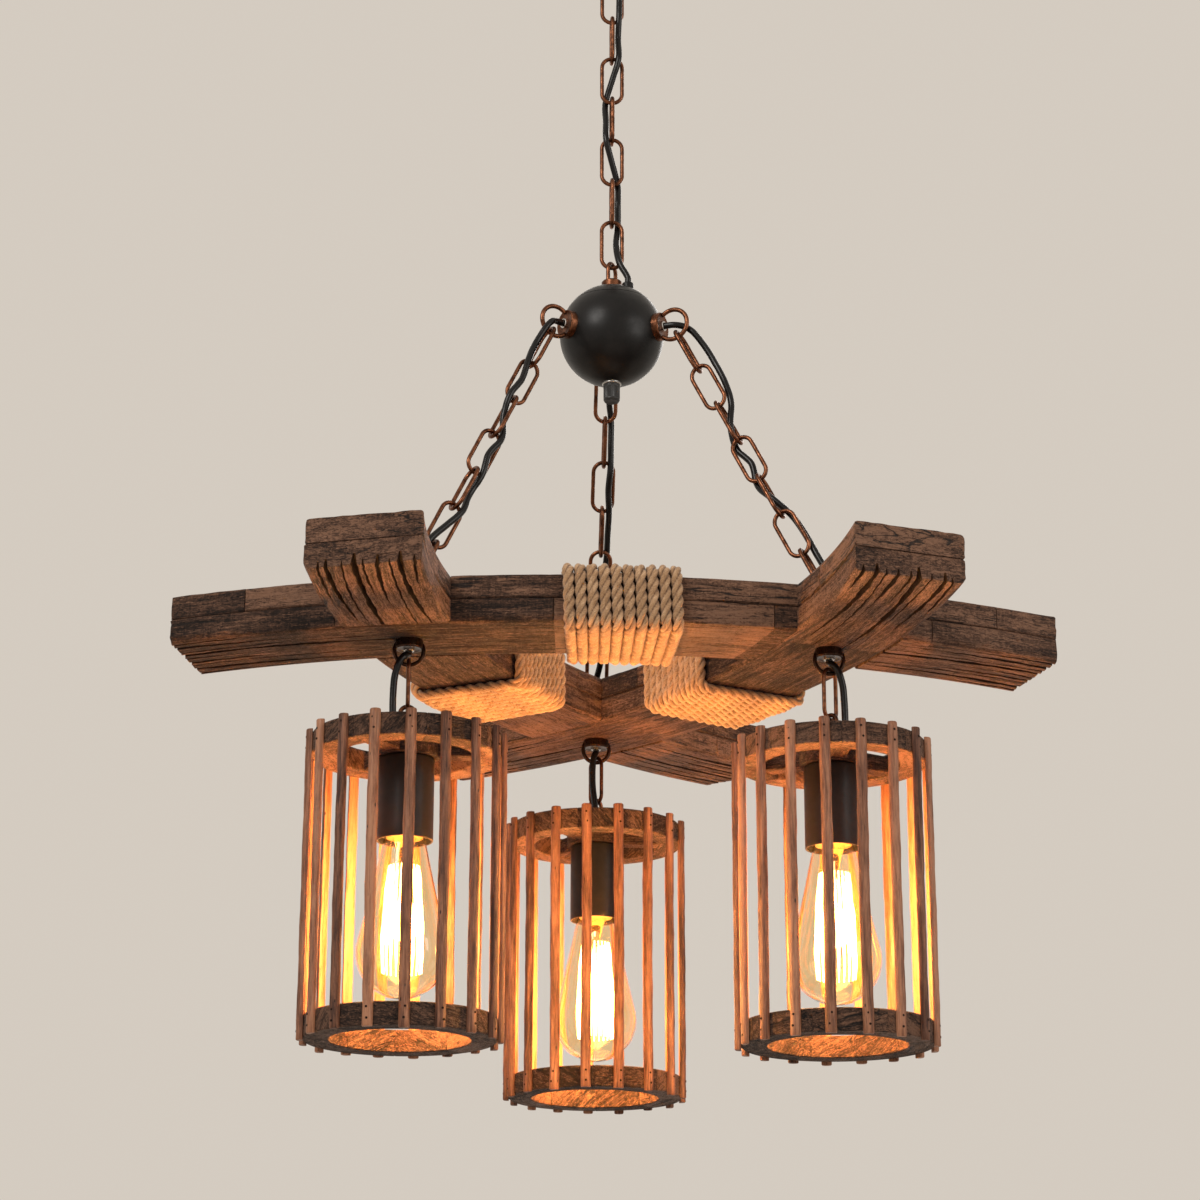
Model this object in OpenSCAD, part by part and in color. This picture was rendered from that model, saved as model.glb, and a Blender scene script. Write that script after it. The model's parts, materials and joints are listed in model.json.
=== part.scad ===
// Chandelier: three curved timber beams lapped into a triangle, hung by three chains
// from a metal ball on one main chain, with a slatted wooden lantern under each crossing.
// Millimetres. The origin is on the ceiling, on the chandelier's axis, and +Z is up.

/* [Ceiling fitting] */
// Outer diameter of the ceiling canopy
canopy_d = 120; // [105:5:160]
// Depth of the ceiling canopy
canopy_h = 26; // [24:1:40]
// Distance between the two screw holes of the ceiling bracket
screw_spacing = 70; // [60:1:76]
// Diameter of the two screw holes
screw_hole_d = 5; // [4:0.5:6]

/* [Chains] */
// Wire diameter of the chain links
link_wire = 3.2; // [2.6:0.1:3.3]
// Outer width of a chain link
link_width = 19.2; // [19:0.2:22]
// Distance from one chain link to the next
link_pitch = 36; // [35:0.5:42]

/* [Cables] */
// Outer diameter of the cables
cable_d = 5; // [4:0.25:5]

/* [Ball] */
// Outer diameter of the ball
ball_d = 80.8; // [76:0.4:90]

/* [Beams] */
// Width of a beam, seen from above
beam_w = 80; // [70:1:90]
// Thickness of a beam
beam_h = 35; // [30:1:45]
// Radius of the arc that a beam's centre line follows
beam_radius = 700; // [650:10:900]
// Distance from the axis to the middle of a beam's centre line
beam_offset = 104; // [98:1:112]
// Length of a beam's chord
beam_chord = 628; // [600:2:660]

/* [Rope] */
// Diameter of the rope
rope_d = 8; // [6:0.25:9]
// Turns of rope round each beam
rope_turns = 10; // [7:1:11]

/* [Lanterns] */
// Outer diameter of the lantern rings
ring_d = 134; // [126:1:142]
// Inner diameter of the lantern rings
ring_bore = 98; // [92:1:104]
// Height of a lantern ring
ring_h = 16; // [14:1:20]
// Height from the top of the upper ring to the underside of the lower ring
lantern_h = 216; // [210:1:240]
// Number of slats round a lantern
slat_count = 17; // [13:1:19]
// Width of a slat
slat_w = 7.7; // [6:0.1:9]
// Thickness of a slat
slat_t = 4.5; // [4:0.1:6]
// Outer length of the link that a lantern hangs from
hanger_outer = 40.5; // [38:0.5:48]

/* [Bulb] */
// Largest diameter of the bulb glass
bulb_d = 64; // [56:1:66]
// Whole length of the bulb, cap included
bulb_len = 140; // [130:1:146]

/* [Hidden] */
$fn = 64;

COPPER = [0.36, 0.22, 0.15];
DARK_METAL = [0.10, 0.09, 0.09];
BRIGHT_METAL = [0.70, 0.68, 0.65];
BLACK = [0.05, 0.05, 0.05];
BEAM_WOOD = [0.42, 0.25, 0.14];
SLAT_WOOD = [0.48, 0.30, 0.20];
ROPE_FIBRE = [0.80, 0.66, 0.42];
GLASS = [1.0, 0.75, 0.40, 0.5];

// Play left between two pieces that hang in one another
play = 0.2;
// Running clearance between a shaft and its hole, on the diameter
fit = 0.4;

// The three corners: left, right and back
LEFT = 0;
RIGHT = 1;
BACK = 2;
corner_az = [210, 330, 90];
main_links = 9;
side_links = 7;

// Chain links
link_len = link_pitch + link_wire + play;
loop_wire = 3.6;
eye_wire = 3.2;

// Ceiling fitting
rod_d = 10;
canopy_wall = 1.5;
canopy_round = 8;
bracket_t = 2.5;
collar_h = 6;
canopy_loop_r = 8;
canopy_loop_leg = 5;
loop_crown_z = -canopy_h - collar_h - canopy_loop_leg - canopy_loop_r;
bush_d = 9;
bush_h = 3;
canopy_bush = [16, -5];

// Main chain
first_top_z = loop_crown_z + (loop_wire + link_wire) / 2 + play;
last_bottom_z = first_top_z - (main_links - 1) * link_pitch - link_len;
eye_crown_z = last_bottom_z + (link_wire + eye_wire) / 2 + play;

// Ball and its fittings
ball_r = ball_d / 2;
ball_wall = 2;
eye_r = 6.6;
eye_turn = -30;
eye_collar_h = 6;
eye_leg = 8.4;
eye_base = ball_r - 0.4;
ball_z = eye_crown_z - eye_base - eye_collar_h - eye_leg - eye_r;
lid_z = ball_r * sin(40);
lid_bush = [12, -7];
lid_bush_top = ball_r + 1.6;
boss_face = ball_r + 3.6;
boss_d = 22;
ring_r = 12.2;
ring_centre = boss_face + 8;
eyelet_h = 1.5;
boss_len = 7.6;

// Beams
arc_back = beam_radius - beam_offset;
corner_r = (sqrt(4 * beam_radius * beam_radius - 3 * arc_back * arc_back) - arc_back) / 2;
end_skew = 12.6;
end_y = arc_back - sqrt(beam_radius * beam_radius - beam_chord * beam_chord / 4);
beam_turn = [0, 120, 240];
arris = 2;
lower_arris = 4;
seam = 0.6;

// Side chains, from the ball's rings to the eyes on the beams
beam_eye_r = 7;
beam_eye_leg = 5.75;
side_run = corner_r - ring_centre;
side_span = side_links * link_pitch - (loop_wire + eye_wire) / 2 - play
    + ring_r + beam_eye_r;
side_drop = sqrt(side_span * side_span - side_run * side_run);
lean = asin(side_run / side_span);
beam_top = ball_z - side_drop - beam_eye_leg;
beam_bottom = beam_top - beam_h;

// Lantern hangers
hoop_wire = 3.2;
hoop_r = 10.4;
hoop_drop = 7.8;
hoop_boss_d = 20;
hoop_boss_h = 6.5;
hanger_wire = 3;
hanger_width = 17;
hanger_len = hanger_outer - hanger_wire;
hanger_turn = [0, -45, 35];
hoop_crown = -hoop_drop - hoop_r;
hanger_top = hoop_crown + (hoop_wire + hanger_wire) / 2 + play;
hanger_bottom = hanger_top - hanger_len;
top_loop_crown = hanger_bottom + (hanger_wire + hoop_wire) / 2 + play;
top_loop_r = 6.9;
top_loop_leg = 9.3;
top_collar_d = 14;
top_collar_h = 6;

// Lanterns, measured down from the underside of the beams
wheel_top = top_loop_crown - top_loop_r - top_loop_leg - top_collar_h;
wheel_under = wheel_top - ring_h;
lantern_under = wheel_top - lantern_h;
hub_d = 46;
spoke_w = 14;
spoke_t = 12;
spoke_az = [0, 30, 0];
slat_start = [18.1, 3.9, 6.2];
slat_above = 2;
slat_below = 1.5;
socket_d = 40;
socket_len = 60;
socket_wall = 1.5;
cap_d = 26;
cap_len = 27;
cap_depth = 29;
neck_r = 14.5;
glass_t = 1;

// Bulb
cap_top = wheel_under - socket_len + cap_depth;
glass_top = cap_top - cap_len;
bulb_r = bulb_d / 2;
bulb_centre = cap_top - bulb_len + bulb_r;

function corner_xy(k) = [corner_r * cos(corner_az[k]), corner_r * sin(corner_az[k])];
function link_top_z(k) = first_top_z - (k - 1) * link_pitch;
function unit(v) = v / norm(v);

// Moves a shape to the underside of the beams at corner k
module at_corner(k) {
    translate([corner_xy(k)[0], corner_xy(k)[1], beam_bottom]) children();
}

// Half a ring of round wire in the XZ plane, above its centre
module half_ring(r, wire) {
    rotate([90, 0, 0]) rotate_extrude(angle = 180) translate([r, 0]) circle(d = wire);
}

// Most of a ring of round wire in the XZ plane, open on its upper side over angle gap
module open_ring(r, wire, gap) {
    rotate([90, -90 - gap / 2, 0]) rotate_extrude(angle = 360 - gap) translate([r, 0]) circle(d = wire);
}

// A chain link in the XZ plane, hanging down from the centre of its upper bend's wire
module link(len, width, wire) {
    r = (width - wire) / 2;
    translate([0, 0, -r]) half_ring(r, wire);
    translate([0, 0, r - len]) mirror([0, 0, 1]) half_ring(r, wire);
    for (side = [-1, 1]) {
        translate([side * r, 0, r - len]) cylinder(d = wire, h = len - 2 * r);
    }
}

// An upright U of wire in the XZ plane with its feet at z = 0
module staple(r, leg, wire) {
    translate([0, 0, leg]) half_ring(r, wire);
    for (side = [-1, 1]) {
        translate([side * r, 0, 0]) cylinder(d = wire, h = leg);
    }
}

// A tube with flat ends that follows a list of points, none of them running along aside
module tube(points, d, aside = [0, 1, 0], sides = 8) {
    last = len(points) - 1;
    rings = [
        for (i = [0:last])
            let (
                back = unit(points[max(i, 1)] - points[max(i, 1) - 1]),
                ahead = unit(points[min(i + 1, last)] - points[min(i + 1, last) - 1]),
                run = unit(back + ahead),
                across = unit(cross(aside, run)),
                other = cross(run, across)
            )
            for (j = [0:sides - 1])
                let (a = (j + 0.5) * 360 / sides)
                points[i] + d / 2 * (cos(a) * across + sin(a) * other)
    ];
    walls = [
        for (i = [0:last - 1], j = [0:sides - 1])
            let (p = i * sides, n = (j + 1) % sides)
            each [[p + j, p + sides + j, p + n], [p + n, p + sides + j, p + sides + n]]
    ];
    caps = [
        [for (j = [0:sides - 1]) j],
        [for (j = [sides - 1:-1:0]) last * sides + j]
    ];
    polyhedron(points = rings, faces = concat(walls, caps));
}

module ceiling_bracket() {
    color(BRIGHT_METAL)
    difference() {
        translate([-50, -12, -bracket_t]) cube([100, 24, bracket_t]);
        translate([0, 0, -bracket_t - 1]) cylinder(d = rod_d + fit, h = bracket_t + 2);
        for (side = [-1, 1]) {
            translate([side * screw_spacing / 2, 0, -bracket_t - 1])
                cylinder(d = screw_hole_d, h = bracket_t + 2);
        }
    }
}

module canopy_rod() {
    color(BRIGHT_METAL)
    translate([0, 0, -canopy_h - collar_h + 1]) cylinder(d = rod_d, h = canopy_h + collar_h - 1.5);
}

module canopy_nut() {
    color(BRIGHT_METAL)
    translate([0, 0, -bracket_t - 5])
    difference() {
        cylinder(d = 19, h = 5, $fn = 6);
        translate([0, 0, -1]) cylinder(d = rod_d + 0.1, h = 7);
    }
}

// Solid of revolution of the canopy, smaller by inset on every side but the open one
module canopy_solid(inset) {
    r = canopy_d / 2 - inset;
    bend = canopy_round - inset;
    rotate_extrude() {
        translate([0, inset - canopy_h]) square([r - bend, canopy_h - inset]);
        translate([0, inset - canopy_h + bend]) square([r, canopy_h - inset - bend]);
        intersection() {
            translate([r - bend, inset - canopy_h + bend]) circle(r = bend);
            translate([0, -canopy_h]) square([r, canopy_h]);
        }
    }
}

module canopy() {
    color(DARK_METAL)
    difference() {
        canopy_solid(0);
        canopy_solid(canopy_wall);
        translate([0, 0, -canopy_wall * 2]) cylinder(r = canopy_d / 2 - canopy_wall, h = 10);
        translate([0, 0, -canopy_h - 1]) cylinder(d = rod_d + fit, h = canopy_h);
    }
    color(BLACK)
    translate([canopy_bush[0], canopy_bush[1], -canopy_h - bush_h]) cylinder(d = bush_d, h = bush_h);
}

module canopy_loop() {
    color(COPPER) {
        difference() {
            translate([0, 0, -canopy_h - collar_h]) cylinder(d = 22, h = collar_h);
            translate([0, 0, -canopy_h - collar_h + 0.8]) cylinder(d = rod_d + 0.1, h = collar_h);
        }
        translate([0, 0, -canopy_h - collar_h]) rotate([0, 0, 90]) mirror([0, 0, 1])
            staple(canopy_loop_r, canopy_loop_leg, loop_wire);
    }
}

// Link k of the main chain: odd links face the front, even links face the side
module main_link(k) {
    color(COPPER)
    translate([0, 0, link_top_z(k)]) rotate([0, 0, 90 * ((k + 1) % 2)])
        link(link_len, link_width, link_wire);
}

// Route of the main cable: pitches down the chain, x, y
main_route = [
    [0.55, 9, -5.5], [1, 5.5, -5.5], [1.5, 5, 0], [2, 5.2, -5.2], [2.5, 5.5, -4.8],
    [3, 5.2, -5.2], [3.5, 4.8, -1], [4, 5, -5], [4.5, 0, 0], [5, -5, 5], [5.5, -4.8, 0],
    [6, -5, -5], [6.5, 0, 0], [7, 5, 5], [7.5, 4.8, 1], [8, 5, 5], [8.5, 3.3, 0],
    [9, 5.8, -5.4]
];
main_cable_points = concat(
    [
        [canopy_bush[0], canopy_bush[1], -canopy_h - bush_h],
        [canopy_bush[0], canopy_bush[1], -canopy_h - bush_h - cable_d]
    ],
    [for (p = main_route) [p[1], p[2], loop_crown_z + 1.8 - p[0] * link_pitch]],
    [
        [lid_bush[0], lid_bush[1], ball_z + lid_bush_top + cable_d],
        [lid_bush[0], lid_bush[1], ball_z + lid_bush_top]
    ]
);

module main_cable() {
    color(BLACK) tube(main_cable_points, cable_d);
}

module ball_rod() {
    color(BRIGHT_METAL)
    translate([0, 0, ball_z - ball_r - 10]) cylinder(d = rod_d, h = 2 * ball_r + 14);
}

module ball_top_eye() {
    color(COPPER)
    translate([0, 0, ball_z + eye_base]) rotate([0, 0, 90 + eye_turn]) {
        difference() {
            cylinder(d = 16, h = eye_collar_h);
            translate([0, 0, -1]) cylinder(d = rod_d + 0.1, h = eye_collar_h);
            translate([0, 0, -eye_base]) sphere(r = ball_r + 0.02);
        }
        translate([0, 0, eye_collar_h]) staple(eye_r, eye_leg, eye_wire);
    }
}

// The ball's wall, centred on the origin
module ball_skin() {
    difference() {
        sphere(r = ball_r, $fn = 96);
        sphere(r = ball_r - ball_wall, $fn = 96);
    }
}

module ball_shell() {
    color(DARK_METAL)
    translate([0, 0, ball_z])
    difference() {
        ball_skin();
        translate([0, 0, lid_z]) cylinder(r = ball_r, h = ball_r);
        translate([0, 0, -ball_r - 1]) cylinder(d = rod_d + fit, h = ball_r);
        for (k = [LEFT, RIGHT, BACK]) {
            rotate([0, 0, corner_az[k]]) rotate([0, 90, 0]) cylinder(d = boss_d + fit, h = ball_r + 1);
        }
    }
}

module ball_lid() {
    lip_r = sqrt(pow(ball_r - ball_wall, 2) - lid_z * lid_z) - 0.4;
    color(DARK_METAL)
    translate([0, 0, ball_z]) {
        difference() {
            union() {
                intersection() {
                    ball_skin();
                    translate([0, 0, lid_z + 0.3]) cylinder(r = ball_r, h = ball_r);
                }
                intersection() {
                    translate([lid_bush[0], lid_bush[1], lid_z + 4])
                        cylinder(d = bush_d, h = lid_bush_top - lid_z - 4);
                    translate([0, 0, lid_bush_top - 10]) cylinder(r = ball_r, h = 10);
                }
            }
            translate([0, 0, lid_z]) cylinder(d = rod_d + fit, h = ball_r);
            translate([0, 0, eye_base]) cylinder(d = 16.4, h = ball_r);
        }
        difference() {
            translate([0, 0, lid_z - 3]) cylinder(r = lip_r - 0.6, h = 5.4);
            translate([0, 0, lid_z - 4]) cylinder(r = lip_r - 2.6, h = 7);
        }
    }
}

module ball_side_rings() {
    for (k = [LEFT, RIGHT, BACK]) {
        translate([0, 0, ball_z]) rotate([0, 0, corner_az[k]])
        color(COPPER) {
            translate([boss_face - boss_len, 0, 0]) rotate([0, 90, 0]) cylinder(d = boss_d, h = boss_len);
            translate([boss_face, 0, 0]) rotate([0, 90, 0]) cylinder(d = 8, h = eyelet_h);
            translate([ring_centre, 0, 0]) rotate([0, -90, 0]) open_ring(ring_r, loop_wire, 94);
        }
    }
}

module ball_washer() {
    color(BRIGHT_METAL)
    translate([0, 0, ball_z])
    difference() {
        translate([0, 0, -ball_r - 0.8]) cylinder(d = 15, h = 3);
        sphere(r = ball_r + 0.02, $fn = 96);
        translate([0, 0, -ball_r - 2]) cylinder(d = rod_d + fit, h = 5);
    }
}

module ball_ferrule() {
    color(BLACK)
    translate([0, 0, ball_z - ball_r - 0.8 - 14])
    difference() {
        union() {
            cylinder(d1 = 11.6, d2 = 12.8, h = 1.5);
            translate([0, 0, 1.5]) cylinder(d = 12.8, h = 12.5);
        }
        translate([0, 0, 3]) cylinder(d = rod_d + 0.1, h = 14);
        for (i = [0:17]) {
            rotate([0, 0, i * 20]) translate([6.6, 0, 2.5]) cylinder(d = 0.9, h = 10);
        }
    }
}

// Puts a shape that hangs down from a ball ring's wire on the line of side chain k
module on_side_chain(k) {
    rotate([0, 0, corner_az[k]])
    translate([ring_centre + ring_r * sin(lean), 0, ball_z - ring_r * cos(lean)])
    rotate([0, -lean, 0])
        children();
}

// Side chain k: odd links lie across the radial plane, even links lie in it
module side_chain(k) {
    color(COPPER)
    on_side_chain(k)
    for (i = [1:side_links]) {
        translate([0, 0, (loop_wire + link_wire) / 2 + play - (i - 1) * link_pitch])
        rotate([0, 0, 90 * (i % 2)])
            link(link_len, link_width, link_wire);
    }
}

// Route of each side cable: pitches down the chain, outward from it, across it
side_start = [[60, 5.4, -4.5], [62, 5, -2.5], [60, -5.2, -4]];
side_route = [
    [
        [0.5, 6.2, 2], [1, 6, 4.9], [1.5, 3, 5], [2, 5.6, 5], [2.5, 0, 1.2], [3, -5.6, 4.9],
        [3.5, -2, 5], [4, -5.6, 4.9], [4.5, -5.4, 1], [5, -5.6, 4.9], [5.5, 0, 4.9],
        [6, 5.8, 5], [6.5, 7.5, 3]
    ],
    [
        [0.6, 13, 2.5], [1.05, 13.4, 1.5], [1.5, 12.8, 2.5], [2, 8.5, 5.2], [2.5, 0, 1.5],
        [3, -5.6, 4.9], [3.5, -1, 4.9], [4, -5.6, 4.9], [4.5, 0, 1.2], [5, 5.6, 4.9],
        [5.5, 7.5, 4.9], [6, 7.5, 5], [6.5, 8.5, 3]
    ],
    [
        [0.5, 5.8, -3], [1, 5.6, -5.2], [1.5, 0, -5.2], [2, -5.4, -5.2], [2.5, -5.4, -4],
        [3, -5.4, -5.2], [3.5, 0, -5], [4, 5.4, -5.2], [4.5, 5.4, -4], [5, 5.4, -5.2],
        [5.5, 2, -5], [6, 6, -5.2], [6.5, 7.8, -3]
    ]
];
side_cable_r = corner_r + 13;

function turn_xy(p, a) = [p[0] * cos(a) - p[1] * sin(a), p[0] * sin(a) + p[1] * cos(a), p[2]];
function side_point(p) =
    let (down = ring_r + p[0] * link_pitch)
    [
        ring_centre + down * sin(lean) + p[1] * cos(lean),
        p[2],
        ball_z - down * cos(lean) + p[1] * sin(lean)
    ];
function side_cable_points(k) = [
    for (p = concat(
        [
            [boss_face + eyelet_h, 0, ball_z],
            [boss_face + eyelet_h + cable_d, 0, ball_z],
            [side_start[k][0] - 44 + boss_face, side_start[k][1], ball_z + side_start[k][2]]
        ],
        [for (q = side_route[k]) side_point(q)],
        [
            [side_cable_r - 2, 0, beam_top + 15],
            [side_cable_r, 0, beam_top + cable_d],
            [side_cable_r, 0, beam_top]
        ]
    ))
    turn_xy(p, corner_az[k])
];

module bridle_cable(k) {
    color(BLACK) tube(side_cable_points(k), cable_d, turn_xy([0, 1, 0], corner_az[k]));
}

module beam_eyes() {
    for (k = [LEFT, RIGHT, BACK]) {
        color(COPPER)
        rotate([0, 0, corner_az[k]]) translate([corner_r, 0, beam_top])
            staple(beam_eye_r, beam_eye_leg, eye_wire);
    }
}

// Plan of the beam ends: the faces lean off square to the chord
module end_trapezoid() {
    reach = 120;
    near = beam_chord / 2 + reach * tan(end_skew);
    far = beam_chord / 2 - reach * tan(end_skew);
    polygon([[-near, end_y - reach], [near, end_y - reach], [far, end_y + reach], [-far, end_y + reach]]);
}

// Plan of a beam, bowed out towards -Y
module beam_plan() {
    intersection() {
        translate([0, arc_back])
        difference() {
            circle(r = beam_radius + beam_w / 2, $fn = 360);
            circle(r = beam_radius - beam_w / 2, $fn = 360);
        }
        end_trapezoid();
    }
}

// Cross-section of a beam: radius across, height up, with eased edges and a seam at mid height
function beam_profile() =
    let (
        inner = beam_radius - beam_w / 2,
        outer = beam_radius + beam_w / 2,
        mid = -beam_h / 2
    )
    [
        [inner + arris, -beam_h], [outer - lower_arris, -beam_h], [outer, lower_arris - beam_h],
        [outer, mid - seam], [outer - seam, mid], [outer, mid + seam],
        [outer, -arris], [outer - arris, 0], [inner + arris, 0], [inner, -arris],
        [inner, mid + seam], [inner + seam, mid], [inner, mid - seam], [inner, arris - beam_h]
    ];

// Drying splits in the underside: offset across the beam, length from its end, width, depth
splits = [[-24, 190, 2.6, 7], [-7, 120, 1.8, 5], [9, 230, 3.0, 8], [25, 150, 2.2, 6]];

module beam_timber() {
    half_angle = asin(beam_chord / 2 / beam_radius) + 3;
    translate([0, arc_back, beam_top])
    difference() {
        intersection() {
            rotate([0, 0, -90 - half_angle])
            rotate_extrude(angle = 2 * half_angle, $fn = 360)
                polygon(beam_profile());
            translate([0, -arc_back, -beam_h - 1]) linear_extrude(beam_h + 2) end_trapezoid();
        }
        for (side = [0, 1], s = splits) {
            sweep = s[1] / beam_radius * 180 / PI + 3;
            rotate([0, 0, side == 0 ? -90 - half_angle : -90 + half_angle - sweep])
            rotate_extrude(angle = sweep, $fn = 360)
            translate([beam_radius + (side == 0 ? s[0] : -s[0]), -beam_h])
                polygon([[-s[2] / 2, -1], [s[2] / 2, -1], [s[2] / 2, 0], [0, s[3]], [-s[2] / 2, 0]]);
        }
    }
}

// Beam b with a notch for each neighbour: from below where it lies over it, else from above
module beam(b, over) {
    color(BEAM_WOOD)
    rotate([0, 0, beam_turn[b]])
    difference() {
        beam_timber();
        for (side = [0, 1]) {
            translate([0, 0, over[side] ? beam_bottom - 1 : beam_top - beam_h / 2])
            rotate([0, 0, side == 0 ? 240 : 120])
            linear_extrude(beam_h / 2 + 1) beam_plan();
        }
    }
}

// Rope: one unbroken tube in turns that touch the beam's section all round
rope_sides = 6;
rope_steps = 24;
rope_off = rope_d / 2 + 0.3;
rope_bend = arris + rope_off;
rope_flat_x = beam_w / 2 - arris;
rope_flat_z = beam_h / 2 - arris;

// Step i of one turn, from the middle of the top: offset out, offset up, and the direction out
function rope_step(i) =
    let (
        quarter = floor(i / 6),
        in_quarter = i % 6,
        long_first = quarter % 2 == 0,
        corner_sx = quarter < 2 ? 1 : -1,
        corner_sz = (quarter == 0 || quarter == 3) ? 1 : -1,
        flat = long_first ? in_quarter < 2 : in_quarter == 0,
        bend_i = long_first ? in_quarter - 2 : in_quarter - 1,
        a = 90 - 90 * quarter - 30 * bend_i
    )
    !flat && bend_i <= 3
        ? [
            corner_sx * rope_flat_x + rope_bend * cos(a),
            corner_sz * rope_flat_z + rope_bend * sin(a),
            cos(a), sin(a)
        ]
        : long_first
            ? [corner_sx * rope_flat_x * in_quarter / 2, corner_sz * (rope_flat_z + rope_bend), 0, corner_sz]
            : in_quarter == 0
                ? [corner_sx * (rope_flat_x + rope_bend), 0, corner_sx, 0]
                : [corner_sx * rope_flat_x / 2, corner_sz * (rope_flat_z + rope_bend), 0, corner_sz];

function rope_vertex(i, j) =
    let (
        s = rope_step(i % rope_steps),
        turns = i / rope_steps - rope_turns / 2,
        phi = -90 + turns * rope_d / beam_radius * 180 / PI,
        a = j * 360 / rope_sides,
        out = beam_radius + s[0] + rope_d / 2 * cos(a) * s[2],
        up = s[1] + rope_d / 2 * cos(a) * s[3],
        along = rope_d / 2 * sin(a)
    )
    [
        out * cos(phi) - along * sin(phi),
        arc_back + out * sin(phi) + along * cos(phi),
        beam_top - beam_h / 2 + up
    ];
rope_gap = min([
    for (i = [0:rope_steps - 1], j = [0:rope_sides - 1], n = [-1:1], m = [0:rope_sides - 1])
        norm(rope_vertex(i + 1, j) - rope_vertex(i + 1 + rope_steps + n, m))
]);

module rope(b) {
    last = rope_turns * rope_steps;
    points = [for (i = [0:last], j = [0:rope_sides - 1]) rope_vertex(i, j)];
    faces = concat(
        [[for (j = [0:rope_sides - 1]) j]],
        [
            for (i = [0:last - 1], j = [0:rope_sides - 1])
                let (p = i * rope_sides, n = (j + 1) % rope_sides)
                each [[p + j, p + rope_sides + j, p + n], [p + n, p + rope_sides + j, p + rope_sides + n]]
        ],
        [[for (j = [rope_sides - 1:-1:0]) last * rope_sides + j]]
    );
    echo(least_gap_between_rope_turns = rope_gap);
    color(ROPE_FIBRE) rotate([0, 0, beam_turn[b]]) polyhedron(points = points, faces = faces);
}

module hanger_loops() {
    for (k = [LEFT, RIGHT, BACK]) {
        color(DARK_METAL)
        at_corner(k) {
            translate([0, 0, -hoop_boss_h]) cylinder(d = hoop_boss_d, h = hoop_boss_h);
            translate([0, 0, -hoop_boss_h - eyelet_h]) cylinder(d = 8, h = eyelet_h);
            translate([0, 0, -hoop_drop]) open_ring(hoop_r, hoop_wire, 104);
        }
    }
}

module hanger_link(k) {
    color(COPPER)
    at_corner(k) translate([0, 0, hanger_top]) rotate([0, 0, 90 + hanger_turn[k]])
        link(hanger_len, hanger_width, hanger_wire);
}

// Route of each lantern cable: x, y, and depth below the beams
lantern_route = [
    [[-2, -4.6, -11.6], [-6, -6.2, -16.5], [-9.5, -4.8, -27], [-10.5, -4, -40], [-10.5, -4, -55]],
    [[1.2, -3.8, -11.5], [5, -5.6, -16.5], [8.5, -5, -27], [9.6, -4.5, -40], [10, -4, -55]],
    [[-0.8, -4.2, -11.5], [-2.5, -6.4, -16.5], [-3.2, -7, -27], [-3, -7.5, -40], [-1.5, -9.5, -55]]
];
lantern_cable_end = [[-10, -4], [10, -4], [-1, -10.4]];

function lantern_cable_points(k) = [
    for (p = concat(
        [[0, 0, -hoop_boss_h - eyelet_h], [0, 0, -hoop_boss_h - eyelet_h - 1.5]],
        lantern_route[k],
        [
            [lantern_cable_end[k][0], lantern_cable_end[k][1], wheel_top + cable_d],
            [lantern_cable_end[k][0], lantern_cable_end[k][1], wheel_top]
        ]
    ))
    [corner_xy(k)[0] + p[0], corner_xy(k)[1] + p[1], beam_bottom + p[2]]
];

module lantern_cable(k) {
    color(BLACK) tube(lantern_cable_points(k), cable_d);
}

module lantern_ring(under) {
    translate([0, 0, under])
    difference() {
        cylinder(d = ring_d, h = ring_h, $fn = 128);
        translate([0, 0, -1]) cylinder(d = ring_bore, h = ring_h + 2, $fn = 128);
    }
}

// Upper ring, hub and three spokes
module top_wheel(k) {
    color(BEAM_WOOD)
    at_corner(k) {
        lantern_ring(wheel_under);
        translate([0, 0, wheel_under]) cylinder(d = hub_d, h = ring_h);
        for (i = [0:2]) {
            rotate([0, 0, spoke_az[k] + i * 120])
            difference() {
                intersection() {
                    translate([0, -spoke_w / 2, wheel_under + 1]) cube([ring_bore / 2 + 5, spoke_w, spoke_t]);
                    translate([0, 0, wheel_under]) cylinder(d = ring_bore, h = ring_h, $fn = 128);
                }
                translate([0, 0, wheel_under - 1]) cylinder(d = hub_d, h = ring_h + 2);
            }
        }
    }
}

module bottom_ring(k) {
    color(BEAM_WOOD) at_corner(k) lantern_ring(lantern_under);
}

// Half-round slats nailed to the outside of both rings
module slats(k) {
    flat = max(0, slat_t - slat_w / 2);
    color(SLAT_WOOD)
    at_corner(k)
    for (i = [0:slat_count - 1]) {
        rotate([0, 0, slat_start[k] + i * 360 / slat_count])
        translate([ring_d / 2 + 0.01, 0, lantern_under - slat_below])
        linear_extrude(lantern_h + slat_above + slat_below)
        intersection() {
            translate([flat, 0]) circle(d = slat_w);
            translate([0, -slat_w]) square([slat_t, 2 * slat_w]);
        }
    }
}

module top_loop(k) {
    color(COPPER)
    at_corner(k) translate([0, 0, wheel_top]) rotate([0, 0, hanger_turn[k]]) {
        cylinder(d = top_collar_d, h = top_collar_h);
        translate([0, 0, top_collar_h]) staple(top_loop_r - 1.6, top_loop_leg + 1.6, hoop_wire);
    }
}

// Metal cover with the lamp holder inside it
module socket(k) {
    at_corner(k)
    translate([0, 0, wheel_under - socket_len]) {
        color(DARK_METAL)
        difference() {
            cylinder(d = socket_d, h = socket_len);
            translate([0, 0, -1]) cylinder(d = socket_d - 2 * socket_wall, h = 5);
            cylinder(d = cap_d + 1, h = cap_depth + 1);
        }
    }
}

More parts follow.
